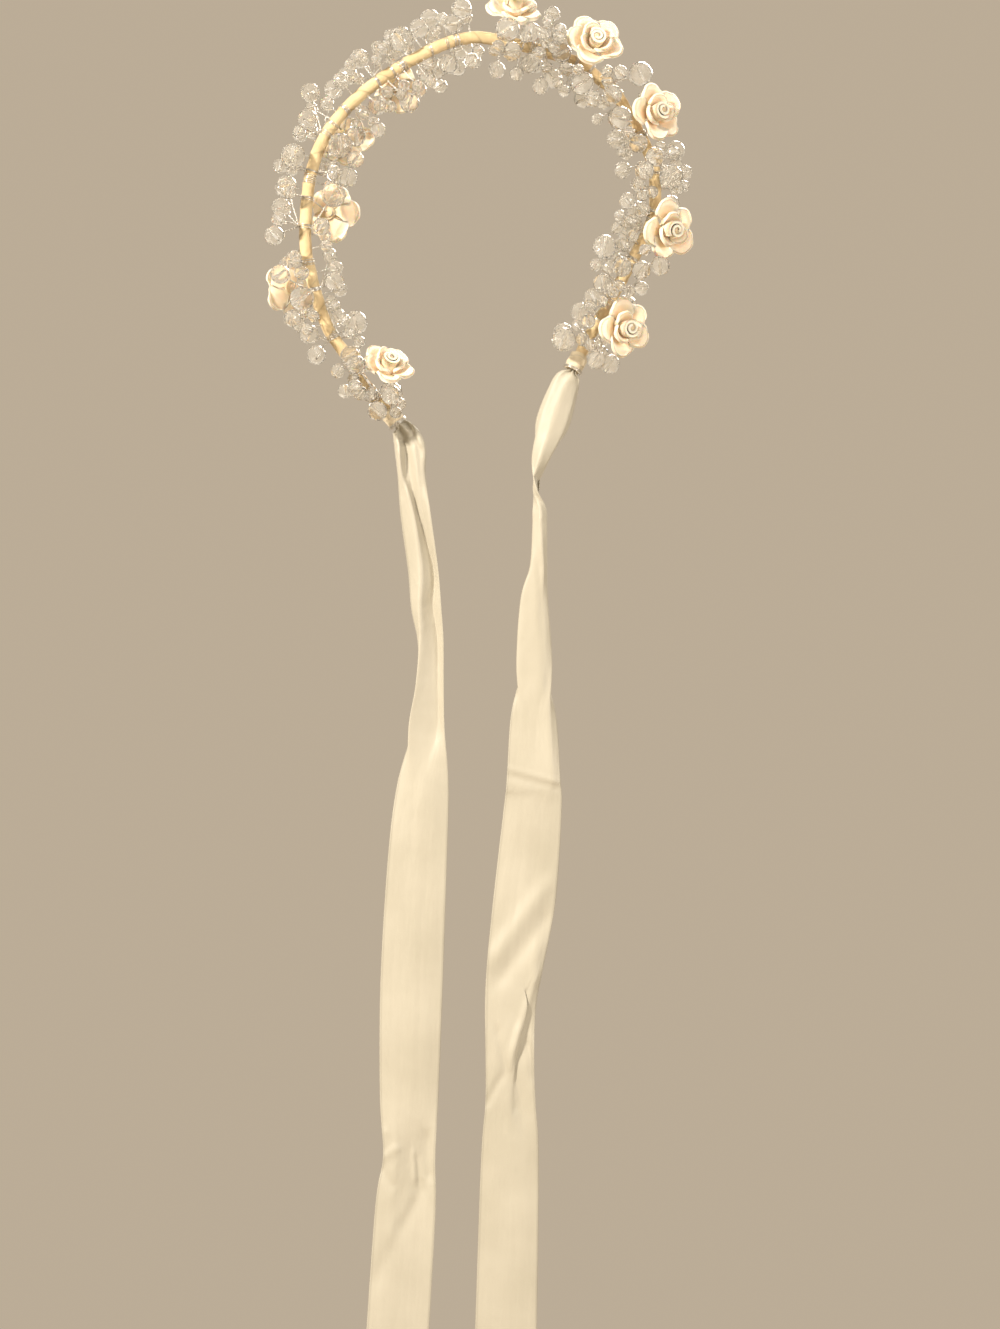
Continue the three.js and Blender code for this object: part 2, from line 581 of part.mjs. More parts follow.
const smoothCurve = (points) => new THREE.CatmullRomCurve3(points, false, "catmullrom", 0.5);

// A ribbon: gathered in the sleeve, then opening along its rows, with its folds and its turn.
function makeRibbon(name, end, rows) {
  const mouth = sleeveLength - sleeveGrip;
  const fall = ribbonDrop + end.point.z;
  const past = (run) => end.point.clone().addScaledVector(end.onward, run);
  const neck = { wide: neckWide / ribbonWidth, deep: 0, form: "gathered" };
  const flare = { wide: flareWide, deep: flareDeep, walls: flareWalls, form: rows[0].form };
  const sections = [
    { ...neck, centre: past(clearance) },
    { ...neck, centre: past(mouth) },
    { ...flare, centre: past(mouth + neckFlare) },
    ...rows.map((row) => {
      const step = new THREE.Vector3(row.shift * ribbonWidth, row.back * ribbonWidth, 0);
      step.z = -row.down * fall;
      return { ...row, centre: end.point.clone().add(step) };
    }),
  ];
  const path = smoothCurve(sections.map((section) => section.centre));
  // One curve for each place across: its distance to the right, behind, and half its thickness.
  const lines = ribbonForms.gathered.across.map((edge, k) =>
    smoothCurve(
      sections.map((section) => {
        const form = ribbonForms[section.form];
        const neckBulk = neckDeep + (neckEdge - neckDeep) * Math.abs(edge);
        const thick = section.walls ? section.walls * ribbonWall : neckBulk;
        const right = (form.across[k] * section.wide * ribbonWidth) / 2;
        return new THREE.Vector3(right, form.behind[k] * section.deep * ribbonWidth, thick / 2);
      }),
    ),
  );
  const steps = (sections.length - 1) * sectionCount;
  const rings = [];
  for (let i = 0; i <= steps; i++) {
    const centre = path.getPoint(i / steps);
    const along = path.getTangent(i / steps);
    const across = new THREE.Vector3(-along.z, 0, along.x).normalize();
    const behind = new THREE.Vector3().crossVectors(across, along).normalize();
    const places = lines.map((line) => line.getPoint(i / steps));
    const at = (right, back) =>
      centre.clone().addScaledVector(across, right).addScaledVector(behind, back);
    const near = [];
    const far = [];
    places.forEach((place, k) => {
      const before = places[Math.max(k - 1, 0)];
      const after = places[Math.min(k + 1, places.length - 1)];
      const run = Math.hypot(after.x - before.x, after.y - before.y);
      const right = (-(after.y - before.y) / run) * place.z;
      const back = ((after.x - before.x) / run) * place.z;
      near.push(at(place.x - right, place.y - back));
      far.push(at(place.x + right, place.y + back));
    });
    rings.push([...far, ...near.reverse()]);
  }
  return named(name, skin(rings, true), satin);
}

const hoopGroup = new THREE.Group();
hoopGroup.rotation.z = radians(hoopTurn);
hoopGroup.add(makeHoop());
roses.forEach((row, i) => hoopGroup.add(makeRose(row, i + 1)));
sprays.forEach((row, i) => hoopGroup.add(makeSpray(row, i + 1)));

const leftEnd = hoopEnd(0);
const rightEnd = hoopEnd(1);
const headband = new THREE.Group();
headband.add(hoopGroup);
headband.add(makeSleeve("end_binding_left", leftEnd));
headband.add(makeSleeve("end_binding_right", rightEnd));
headband.add(makeRibbon("ribbon_left", leftEnd, leftRibbon));
headband.add(makeRibbon("ribbon_right", rightEnd, rightRibbon));

export default headband;
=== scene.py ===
"""A bridal halo headband: wrapped hoop, clay roses, sprays of faceted beads, two satin ribbons.

Lengths in the tables are millimetres, angles degrees. Pieces are made in the row frame: +X to the
right, +Z up, the viewer on the side of negative Y, and the origin under the hoop's crown.
"""

from math import cos, dist, exp, floor, hypot, pi, radians, sin, sqrt, tau
from types import SimpleNamespace

import bpy
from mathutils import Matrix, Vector


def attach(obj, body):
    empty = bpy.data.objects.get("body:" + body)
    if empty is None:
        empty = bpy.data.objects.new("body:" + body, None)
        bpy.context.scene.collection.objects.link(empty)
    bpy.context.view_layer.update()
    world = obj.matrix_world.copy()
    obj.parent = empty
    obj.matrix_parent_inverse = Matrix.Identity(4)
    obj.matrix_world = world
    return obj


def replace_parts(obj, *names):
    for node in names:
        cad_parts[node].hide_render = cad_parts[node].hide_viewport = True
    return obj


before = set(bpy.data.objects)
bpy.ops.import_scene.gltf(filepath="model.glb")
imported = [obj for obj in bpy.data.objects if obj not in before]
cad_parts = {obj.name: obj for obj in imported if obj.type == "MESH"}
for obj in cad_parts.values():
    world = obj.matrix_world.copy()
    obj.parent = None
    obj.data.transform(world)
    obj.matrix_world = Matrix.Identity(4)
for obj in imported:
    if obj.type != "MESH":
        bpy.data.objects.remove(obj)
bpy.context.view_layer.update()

MM = 0.001

# The camera: level, square to the wall, a little right of the hang point.
VIEW_DISTANCE = 1100
VIEW_ACROSS = 7.3
VIEW_DOWN = 251.6
VIEW_HEIGHT = 539.6

# The hoop and what is bound to it.
CLEARANCE = 0.3
HOOP_WIDTH = 144.5
HOOP_HEIGHT = 155
HOOP_TURN = 11
HOOP_RADIUS = 2.5
WRAP_PITCH = 10.6
BEAD_SMALL, BEAD_MIDDLE, BEAD_LARGE = 6, 8, 10
BEAD_GAP = 0.1
STEM_RADIUS = 0.5
BAND_WIDTH = 2
BAND_WALL = 0.8
BAND_SIDES = 7
ROSE_WIDTH = 21
ROSE_DEPTH = 13
FOOT_DEPTH = 0.4
SLEEVE_LENGTH = 8
SLEEVE_GRIP = 5
SLEEVE_WALL = 0.9
SLEEVE_SIDES = 10
RIBBON_WIDTH = 25.4
RIBBON_DROP = 532
NECK_WIDE = 3.7
NECK_FLARE = 2.2
FLARE_WIDE = 0.34
FLARE_DEEP = 0.1

# Across as a share of the hoop's width, down as a share of its height.
HOOP_OUTLINE = [
    (-0.25, 1.0), (-0.331, 0.913), (-0.382, 0.841), (-0.441, 0.757), (-0.485, 0.623),
    (-0.499, 0.528), (-0.484, 0.373), (-0.432, 0.254), (-0.328, 0.147), (-0.174, 0.05),
    (-0.043, 0.0), (0.086, 0.008), (0.268, 0.05), (0.34, 0.095), (0.392, 0.135),
    (0.485, 0.288), (0.501, 0.367), (0.492, 0.46), (0.427, 0.582), (0.317, 0.761),
    (0.268, 0.849),
]

# Place along the hoop, side of the hoop, reach, side it faces, lean along the hoop, size.
ROSES = [
    (0.05, -64, 0.62, -50, 30, 0.95),
    (0.166, 131, 0.64, 150, 5, 0.95),
    (0.242, -123, 0.7, -146, 0, 0.95),
    (0.336, -142, 0.66, -152, -6, 0.97),
    (0.419, -150, 0.64, -152, 6, 0.95),
    (0.5515, 85, 0.73, 80, 0, 1.0),
    (0.633, 45, 0.61, 14, -6, 1.0),
    (0.72, 40, 0.61, 20, 4, 1.0),
    (0.832, 34, 0.61, 20, 0, 1.05),
    (0.943, 48, 0.66, 18, -5, 1.02),
]

# Start and stop along the hoop, beads outside and inside it, turn to the front, reach.
SPRAYS = [
    (0.0, 0.09, 2, 5, 55, 1.15),
    (0.09, 0.138, 3, 2, -15, 1.25),
    (0.138, 0.202, 2, 2, 5, 1.35),
    (0.202, 0.272, 4, 1, -5, 1.35),
    (0.272, 0.3, 2, 2, -10, 1.5),
    (0.3, 0.376, 4, 3, -5, 1.5),
    (0.376, 0.456, 4, 3, -5, 1.45),
    (0.456, 0.49, 3, 2, -15, 1.25),
    (0.49, 0.518, 2, 2, -10, 1.2),
    (0.532, 0.596, 2, 3, 45, 1.05),
    (0.596, 0.664, 1, 5, 30, 1.0),
    (0.664, 0.692, 2, 2, 40, 1.3),
    (0.692, 0.75, 1, 5, 30, 1.0),
    (0.75, 0.797, 3, 3, 45, 1.3),
    (0.797, 0.858, 1, 4, 30, 1.0),
    (0.858, 0.904, 3, 3, 40, 1.4),
    (0.904, 0.966, 1, 4, 30, 1.0),
    (0.966, 1.0, 3, 3, 35, 1.3),
]
GROUP_SPREAD = 38
SPRAY_BAND = 0.3
ROSE_BAND = 0.72
BEAD_ORDER = [BEAD_MIDDLE, BEAD_SMALL, BEAD_LARGE, BEAD_MIDDLE, BEAD_SMALL, BEAD_MIDDLE, BEAD_MIDDLE]
BEAD_ORDER_STEP = 3
BEAD_REACHES = [0.65, 1, 0.8]
RUN_START, RUN_STEP = 0.2, 0.382
ROLL_START, ROLL_STEP, ROLL_SHIFT = 0.1, 0.618, 0.27
SETTLE_ROUNDS = 60
STEM_CHECKS = [0.3, 0.7]
SLEEVE_CHECKS = [-0.8, -0.4, 0, 0.5, 1]

# Share of the drop, shift right and back, width open to the viewer, depth of the folds, form.
LEFT_RIBBON = [
    (0.03, 0.25, 0.0, 0.49, 0.16, "creased"),
    (0.06, 0.28, 0.0, 0.44, 0.2, "creased"),
    (0.1, 0.34, 0.0, 0.48, 0.22, "pleatedMiddle"),
    (0.16, 0.46, 0.02, 0.48, 0.24, "pleatedRight"),
    (0.2, 0.51, 0.03, 0.48, 0.24, "pleatedWide"),
    (0.235, 0.58, 0.04, 0.41, 0.22, "pleatedLeft"),
    (0.285, 0.56, 0.05, 0.46, 0.2, "foldedUnder"),
    (0.33, 0.51, 0.05, 0.59, 0.16, "foldedUnder"),
    (0.39, 0.46, 0.04, 0.82, 0.08, "bowed"),
    (0.47, 0.37, 0.02, 0.94, 0.05, "bowed"),
    (0.6, 0.28, 0.0, 0.99, 0.04, "bowed"),
    (0.72, 0.24, 0.02, 0.93, 0.06, "bowed"),
    (0.785, 0.24, 0.05, 0.83, 0.1, "waved"),
    (0.84, 0.18, 0.03, 0.96, 0.05, "waved"),
    (1.0, 0.03, 0.0, 1.0, 0.03, "bowed"),
]
RIGHT_RIBBON = [
    (0.024, -0.18, 0.0, 0.46, 0.16, "domed"),
    (0.062, -0.38, 0.0, 0.52, 0.2, "domed"),
    (0.096, -0.56, 0.0, 0.3, 0.24, "rolled"),
    (0.126, -0.63, 0.0, 0.15, 0.32, "edgeOn"),
    (0.146, -0.575, 0.0, 0.23, 0.24, "turnedRoll"),
    (0.165, -0.57, 0.0, 0.25, 0.24, "turnedRoll"),
    (0.205, -0.59, 0.02, 0.29, 0.22, "turnedRidge"),
    (0.24, -0.66, 0.03, 0.47, 0.2, "turnedRidge"),
    (0.305, -0.66, 0.03, 0.61, 0.17, "turnedRidge"),
    (0.355, -0.67, 0.01, 0.72, 0.13, "turnedLip"),
    (0.42, -0.67, -0.03, 0.86, 0.07, "turnedLip"),
    (0.45, -0.68, 0.02, 0.93, 0.05, "turnedBow"),
    (0.54, -0.81, 0.03, 1.0, 0.04, "turnedBow"),
    (0.61, -0.97, 0.0, 0.9, 0.09, "turnedLip"),
    (0.65, -1.04, 0.0, 0.82, 0.13, "tucked"),
    (0.703, -1.05, 0.02, 0.78, 0.12, "tuckedDeep"),
    (0.75, -1.04, 0.04, 0.81, 0.1, "turnedWave"),
    (0.81, -1.05, 0.02, 0.93, 0.06, "turnedBow"),
    (1.0, -1.12, 0.0, 1.0, 0.03, "turnedBow"),
]
# Five places from the ribbon's first edge to its other: to the right as shares of half the open
# width, and behind as shares of the folds' depth.
RIBBON_FORMS = {
    "gathered": ((-1, -0.5, 0, 0.5, 1), (0, 0, 0, 0, 0)),
    "creased": ((-1, -0.6, -0.1, 0.45, 1), (0.2, -0.5, 0.5, -0.3, 0.1)),
    "pleatedMiddle": ((-1, -0.1, 0.12, 0.55, 1), (0.5, -0.5, 0.5, 0, -0.5)),
    "pleatedRight": ((-1, -0.16, 0.7, 0.85, 1), (0.5, -0.5, 0.5, 0, -0.4)),
    "pleatedWide": ((-1, -0.46, 0.44, 0.72, 1), (0.4, -0.5, 0.5, 0, -0.4)),
    "pleatedLeft": ((-1, -0.84, 0.5, 0.75, 1), (0.2, -0.5, 0.5, 0.1, -0.4)),
    "foldedUnder": ((-0.7, -1, 0.56, 0.8, 1), (0.1, -0.4, 0.5, 0.1, -0.3)),
    "bowed": ((-1, -0.5, 0, 0.5, 1), (0.4, -0.2, -0.5, -0.3, 0.4)),
    "waved": ((-1, -0.5, 0, 0.5, 1), (0.3, -0.5, 0.2, 0.5, -0.4)),
    "domed": ((-1, -0.75, 0, 0.8, 1), (0.5, -0.1, -0.5, -0.1, 0.5)),
    "rolled": ((-0.4, -1, -0.1, 1, 0.3), (0.5, 0.1, -0.5, 0, 0.5)),
    "edgeOn": ((0.3, 0.1, -0.7, -0.1, 0.7), (-0.1, -0.5, -0.1, 0.5, 0.2)),
    "turnedRoll": ((0.3, 1, 0.1, -1, -0.4), (0.5, 0, -0.5, 0.1, 0.5)),
    "turnedRidge": ((0.5, 1, 0.5, -1, -0.6), (0.5, 0.15, -0.5, -0.1, 0.4)),
    "turnedLip": ((1, 0.7, 0.1, -0.5, -1), (0.5, -0.5, -0.2, -0.1, 0.2)),
    "turnedBow": ((1, 0.5, 0, -0.5, -1), (0.4, -0.3, -0.5, -0.2, 0.4)),
    "tucked": ((1, 0.3, 0.72, -0.2, -1), (0, 0.15, -0.3, -0.25, 0)),
    "tuckedDeep": ((1, 0.1, 0.3, -0.5, -1), (0, 0.2, -0.25, -0.25, 0)),
    "turnedWave": ((1, 0.4, 0, -0.5, -1), (0, 0.5, -0.4, -0.1, 0.1)),
}


# Small vectors as tuples


def add(a, b, k=1.0):
    return (a[0] + b[0] * k, a[1] + b[1] * k, a[2] + b[2] * k)


def sub(a, b):
    return (a[0] - b[0], a[1] - b[1], a[2] - b[2])


def times(a, k):
    return (a[0] * k, a[1] * k, a[2] * k)


def dot(a, b):
    return a[0] * b[0] + a[1] * b[1] + a[2] * b[2]


def cross(a, b):
    return (a[1] * b[2] - a[2] * b[1], a[2] * b[0] - a[0] * b[2], a[0] * b[1] - a[1] * b[0])


def unit(a):
    return times(a, 1 / sqrt(dot(a, a)))


def mixed(a, b, k):
    return add(times(a, 1 - k), b, k)


def about(v, axis, angle):
    """v turned about a unit axis."""
    c, s = cos(angle), sin(angle)
    return add(add(times(v, c), cross(axis, v), s), axis, dot(axis, v) * (1 - c))


def square_to(v):
    """Two unit vectors square to v and to each other."""
    side = unit(cross(v, (0, 0, 1) if abs(v[2]) < 0.9 * sqrt(dot(v, v)) else (1, 0, 0)))
    return side, unit(cross(v, side))


def on_ring(centre, axes, radius, angle):
    """The point at an angle on a ring that lies in the plane of two axes."""
    return add(add(centre, axes[0], radius * cos(angle)), axes[1], radius * sin(angle))


def hashed(*numbers):
    """A repeatable value from 0 to 1 for some numbers."""
    total = sum(n * k for n, k in zip(numbers, (12.9898, 78.233, 37.719)))
    return (sin(total) * 43758.5453) % 1


def spline(points, t):
    """The place at t, from 0 to 1, on a smooth curve through points of any dimension."""
    last = len(points) - 1
    i = min(int(t * last), last - 1)
    w = t * last - i
    p1, p2 = points[i], points[i + 1]
    p0 = points[i - 1] if i else [2 * a - b for a, b in zip(p1, p2)]
    p3 = points[i + 2] if i + 2 <= last else [2 * b - a for a, b in zip(p1, p2)]
    place = []
    for a, b, c, d in zip(p0, p1, p2, p3):
        m, n = (c - a) / 2, (d - b) / 2
        place.append(b + m * w + (3 * c - 3 * b - 2 * m - n) * w**2 + (2 * b - 2 * c + m + n) * w**3)
    return tuple(place)


# The hoop's curve, in its own plane

HOOP_POINTS = [(a * HOOP_WIDTH, 0, HOOP_RADIUS - d * HOOP_HEIGHT) for a, d in HOOP_OUTLINE]
CURVE_STEPS = 200
curve_runs = [0]
for step in range(CURVE_STEPS):
    ends = [spline(HOOP_POINTS, (step + k) / CURVE_STEPS) for k in (0, 1)]
    curve_runs.append(curve_runs[-1] + dist(*ends))
HOOP_LENGTH = curve_runs[-1]


def hoop_frame(at):
    """The hoop's point at a share of its length, the direction along it and the one outwards."""
    run = at * HOOP_LENGTH
    i = max(k for k in range(CURVE_STEPS) if curve_runs[k] <= run)
    t = (i + (run - curve_runs[i]) / (curve_runs[i + 1] - curve_runs[i])) / CURVE_STEPS
    before, after = max(0, t - 1e-4), min(1, t + 1e-4)
    along = unit(sub(spline(HOOP_POINTS, after), spline(HOOP_POINTS, before)))
    return spline(HOOP_POINTS, min(t, 1)), along, (-along[2], 0, along[0])


def sideways(place, roll):
    return add(times(place[2], sin(radians(roll))), (0, -1, 0), cos(radians(roll)))


def turned(point):
    """A point or direction of the hoop's own plane, in the row frame."""
    return about(point, (0, 0, 1), radians(HOOP_TURN))


# The layout of roses and beads

band_inner = (HOOP_RADIUS + CLEARANCE) / cos(pi / BAND_SIDES)
band_outer = band_inner + BAND_WALL
root_radius = (band_inner + band_outer * cos(pi / BAND_SIDES)) / 2
sleeve_inner = (HOOP_RADIUS + CLEARANCE) / cos(pi / SLEEVE_SIDES)


def along_spray(spray, step):
    return spray[0] + step * (spray[1] - spray[0])


def rose_place(row):
    at, roll, reach, face, lean, size = row
    place = hoop_frame(at)
    spray = next(s for s in SPRAYS if s[0] < at < s[1])
    band = along_spray(spray, ROSE_BAND)
    bind = hoop_frame(band)
    middle = add(place[0], sideways(place, roll), reach * ROSE_WIDTH)
    tilt = radians(lean)
    facing = add(times(sideways(place, face), cos(tilt)), place[1], sin(tilt))
    foot = add(middle, facing, -FOOT_DEPTH * ROSE_DEPTH * size)
    stem = add(bind[0], sideways(bind, roll), root_radius)
    radius = ROSE_WIDTH / 2 * size
    return SimpleNamespace(
        middle=middle, facing=facing, foot=foot, stem=stem, band=band, radius=radius, size=size
    )


def balls_to_clear():
    """Middles and radii of the balls that beads and their stems keep clear of."""
    balls = []
    for row in ROSES:
        rose = rose_place(row)
        balls.append((rose.middle, rose.radius))
        balls.append((hoop_frame(rose.band)[0], hypot(band_outer, BAND_WIDTH / 2)))
        balls += [(mixed(rose.stem, rose.foot, k), STEM_RADIUS) for k in STEM_CHECKS]
    for at, onward in ((0, -1), (1, 1)):
        place = hoop_frame(at)
        for step in SLEEVE_CHECKS:
            ball = add(place[0], place[1], onward * step * SLEEVE_GRIP)
            balls.append((ball, sleeve_inner + SLEEVE_WALL))
    return balls


def stem_root(bind, point):
    way = sub(point, bind[0])
    way = add(way, bind[1], -dot(way, bind[1]))
    return add(bind[0], unit(way), root_radius)


def pushed(point, source, distance):
    way = sub(point, source)
    short = distance - sqrt(dot(way, way))
    return add(point, unit(way), short) if short > 0 else point


def on_line(point, start, end):
    """The point of a stretch from start to end that lies nearest to a point."""
    run = sub(end, start)
    k = dot(sub(point, start), run) / dot(run, run)
    return add(start, run, min(1, max(0, k)))


def settled_beads(spray, number, balls):
    """(middle, radius) of a spray's beads, moved apart and clear of the hoop and the roses."""
    start, stop, outer, inner, front, reach_share = spray
    lower, upper = hoop_frame(start), hoop_frame(stop)
    middle = hoop_frame(along_spray(spray, 0.5))[0]
    bind = hoop_frame(along_spray(spray, SPRAY_BAND))
    reach = reach_share * BEAD_LARGE
    middles, radii = [], []
    for i in range(outer + inner):
        place = hoop_frame(along_spray(spray, (RUN_START + i * RUN_STEP) % 1))
        side = 90 - front if i < outer else front - 90
        across = (ROLL_START + i * ROLL_STEP + number * ROLL_SHIFT) % 1
        off = reach * BEAD_REACHES[(i + number) % len(BEAD_REACHES)]
        middles.append(add(place[0], sideways(place, side + GROUP_SPREAD * (2 * across - 1)), off))
        radii.append(BEAD_ORDER[(i + number * BEAD_ORDER_STEP) % len(BEAD_ORDER)] / 2)
    for _ in range(SETTLE_ROUNDS):
        for i, radius in enumerate(radii):
            for j, other in enumerate(radii):
                if i != j:
                    middles[i] = pushed(middles[i], middles[j], radius + other + BEAD_GAP)
        for i, radius in enumerate(radii):
            at = middles[i]
            feet = [on_line(at, lower[0], middle), on_line(at, middle, upper[0])]
            foot = min(feet, key=lambda p: dist(p, at))
            if dist(at, foot) > reach:
                at = add(foot, unit(sub(at, foot)), reach)
            at = pushed(at, foot, HOOP_RADIUS + radius + CLEARANCE)
            root = stem_root(bind, at)
            for ball, size in balls:
                at = pushed(at, ball, size + radius + CLEARANCE)
                aside = sub(on_line(ball, root, at), ball)
                short = size + STEM_RADIUS + CLEARANCE - sqrt(dot(aside, aside))
                if short > 0:
                    at = add(at, unit(aside), short)
            margin = radius + CLEARANCE / 2
            for place, way in ((lower, 1), (upper, -1)):
                room = way * dot(sub(at, place[0]), place[1])
                if room < margin:
                    at = add(at, place[1], way * (margin - room))
            middles[i] = at
    return list(zip(middles, radii))


# Mesh making


def added(name, data):
    """A new object in the scene."""
    thing = bpy.data.objects.new(name, data)
    bpy.context.scene.collection.objects.link(thing)
    return thing


class Shape:
    """Vertices, faces and one UV a corner, gathered for one mesh."""

    def __init__(self):
        self.points, self.faces, self.uvs = [], [], []

    def grid(self, rows, uv, closed=False, flip=False):
        """Quads between rows of points. closed joins each row's last point to its first."""
        base, wide = len(self.points), len(rows[0])
        for row in rows:
            self.points += row
        for i in range(len(rows) - 1):
            for j in range(wide if closed else wide - 1):
                k = (j + 1) % wide
                corners = [(i, j), (i, k), (i + 1, k), (i + 1, j)]
                places = [(i, j), (i, j + 1), (i + 1, j + 1), (i + 1, j)]
                if flip:
                    corners.reverse()
                    places.reverse()
                self.faces.append([base + a * wide + b for a, b in corners])
                self.uvs += [uv(a, b) for a, b in places]
        return base

    def face(self, corners, uv=(0, 0)):
        self.faces.append(list(corners))
        self.uvs += [uv] * len(corners)

    def tube(self, path, radius, sides):
        """A closed round wire along a path of points, its section kept from twisting."""
        rings, side = [], None
        for i, point in enumerate(path):
            ahead = unit(sub(path[min(i + 1, len(path) - 1)], path[max(i - 1, 0)]))
            if side is None:
                side = square_to(ahead)[0]
            side = unit(add(side, ahead, -dot(side, ahead)))
            axes = (side, cross(ahead, side))
            rings.append([on_ring(point, axes, radius, tau * k / sides) for k in range(sides)])
        base = self.grid(rings, closed=True, uv=lambda i, j: (j / sides, i))
        self.face([base + k for k in reversed(range(sides))])
        last = base + (len(rings) - 1) * sides
        self.face([last + k for k in range(sides)])

    def made(self, name, material, smooth=True, slot=None, place=turned):
        """The mesh object, riding on the frame's one body."""
        mesh = bpy.data.meshes.new(name)
        mesh.from_pydata([times(place(p), MM) for p in self.points], [], self.faces)
        layer = mesh.uv_layers.new(name="run")
        for corner, uv in enumerate(self.uvs):
            layer.data[corner].uv = uv
        mesh.polygons.foreach_set("use_smooth", [smooth] * len(mesh.polygons))
        mesh.materials.append(material)
        mesh.validate()
        piece = added(name, mesh)
        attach(piece, "root")
        return piece


# Materials


class Tree:
    """The node tree of a material or world, with short calls to add nodes to it."""

    def __init__(self, owner):
        owner.use_nodes = True
        self.nodes, self.links = owner.node_tree.nodes, owner.node_tree.links

    def add(self, kind, settings=None, **sockets):
        """A node with its settings and its inputs, by name or as i and a number."""
        node = self.nodes.new("ShaderNode" + kind)
        for key, value in (settings or {}).items():
            setattr(node, key, value)
        for key, value in sockets.items():
            numbered = key[0] == "i" and key[1:].isdigit()
            socket = node.inputs[int(key[1:]) if numbered else key]
            if isinstance(value, bpy.types.NodeSocket):
                self.link(value, socket)
            else:
                socket.default_value = value
        return node

    def link(self, source, target):
        self.links.new(source, target)

    def math(self, operation, a, b=0.0):
        return self.add("Math", {"operation": operation}, i0=a, i1=b).outputs[0]

    def ramp(self, value, stops):
        """Colours, or greys from single numbers, at their places along a value."""
        node = self.add("ValToRGB", Fac=value)
        elements = node.color_ramp.elements
        while len(elements) < len(stops):
            elements.new(0.5)
        for element, (place, colour) in zip(elements, stops):
            grey = isinstance(colour, (int, float))
            element.position = place
            element.color = (colour,) * 3 + (1,) if grey else (*colour, 1)
        return node.outputs[0]

    def noise(self, vector, scale, detail=3, roughness=0.5):
        sockets = {"Vector": vector, "Scale": scale, "Detail": detail, "Roughness": roughness}
        return self.add("TexNoise", **sockets).outputs[0]

    def scaled(self, vector, scale):
        return self.add("Mapping", Vector=vector, Scale=scale).outputs[0]

    def bump(self, height, distance, strength, **normal):
        sockets = {"Height": height, "Distance": distance, "Strength": strength, **normal}
        return self.add("Bump", **sockets).outputs[0]

    def mix(self, factor, a, b, blend="MIX"):
        settings = {"data_type": "RGBA", "blend_type": blend}
        return self.add("Mix", settings, i0=factor, i6=a, i7=b).outputs[2]


class Look(Tree):
    """A material of the standard shader, from its constants."""

    def __init__(self, name, **constants):
        self.material = bpy.data.materials.new(name)
        super().__init__(self.material)
        self.shader = self.nodes["Principled BSDF"]
        for socket, value in constants.items():
            self.shader.inputs[socket.replace("_", " ")].default_value = value

    @property
    def place(self):
        return self.add("TexCoord").outputs["Object"]

    @property
    def run(self):
        return self.add("UVMap", {"uv_map": "run"}).outputs[0]

    def into(self, name, source):
        self.link(source, self.shader.inputs[name])

    def threads(self, scale, distortion):
        sockets = {"Vector": self.run, "Scale": scale, "Distortion": distortion}
        return self.add("TexWave", {"bands_direction": "X"}, **sockets).outputs[1]


def tape_look(name, low, high):
    """Cream cloth tape: its u runs round the wire, its v along it in turns of the tape."""
    look = Look(name, Sheen_Weight=0.15)
    split = look.add("SeparateXYZ", Vector=look.run)
    lap = look.math("FRACT", look.math("SUBTRACT", split.outputs[1], split.outputs[0]))
    blotch = look.noise(look.place, 160, 4)
    tone = look.ramp(blotch, [(0.3, low), (0.62, high)])
    # Painted shade: the colour is darker at both sides of each lap's step, where one turn of tape
    # steps over the next.
    edge = look.ramp(lap, [(0.0, 0.62), (0.05, 0.9), (0.12, 1.0), (0.9, 1.0), (1.0, 0.84)])
    look.into("Base Color", look.mix(1.0, tone, edge, "MULTIPLY"))
    crepe = look.noise(look.scaled(look.run, (5, 34, 1)), 1.6, 4, 0.6)
    weave = look.threads(26, 1.5)
    height = look.math("ADD", crepe, look.math("MULTIPLY", weave, 0.25))
    look.into("Normal", look.bump(height, 0.0004, 0.5))
    look.into("Roughness", look.ramp(crepe, [(0.3, 0.62), (0.7, 0.8)]))
    return look.material


def satin_look():
    """Ivory satin: its u runs across the ribbon, its v down it, both in ribbon widths."""
    look = Look("ivory_satin", Sheen_Weight=0.25, Sheen_Roughness=0.35)
    soft = look.noise(look.place, 38, 3)
    tone = look.ramp(soft, [(0.3, (0.44, 0.40, 0.312)), (0.7, (0.50, 0.457, 0.365))])
    across = look.add("SeparateXYZ", Vector=look.run).outputs[0]
    edge = look.math("ABSOLUTE", look.math("SUBTRACT", across, 0.5))
    selvedge = look.ramp(edge, [(0.0, 1.0), (0.455, 1.0), (0.475, 0.84), (0.5, 0.98)])
    look.into("Base Color", look.mix(1.0, tone, selvedge, "MULTIPLY"))
    warp = look.threads(30, 0.4)
    weft = look.noise(look.scaled(look.run, (3, 90, 1)), 1.0, 4, 0.7)
    height = look.math("ADD", look.math("MULTIPLY", warp, 0.2), weft)
    ripple = look.noise(look.scaled(look.run, (1.4, 0.5, 1)), 3.0, 2)
    fine = look.bump(height, 0.00006, 0.5)
    look.into("Normal", look.bump(ripple, 0.0012, 0.35, Normal=fine))
    look.into("Roughness", look.ramp(weft, [(0.3, 0.42), (0.7, 0.58)]))
    return look.material


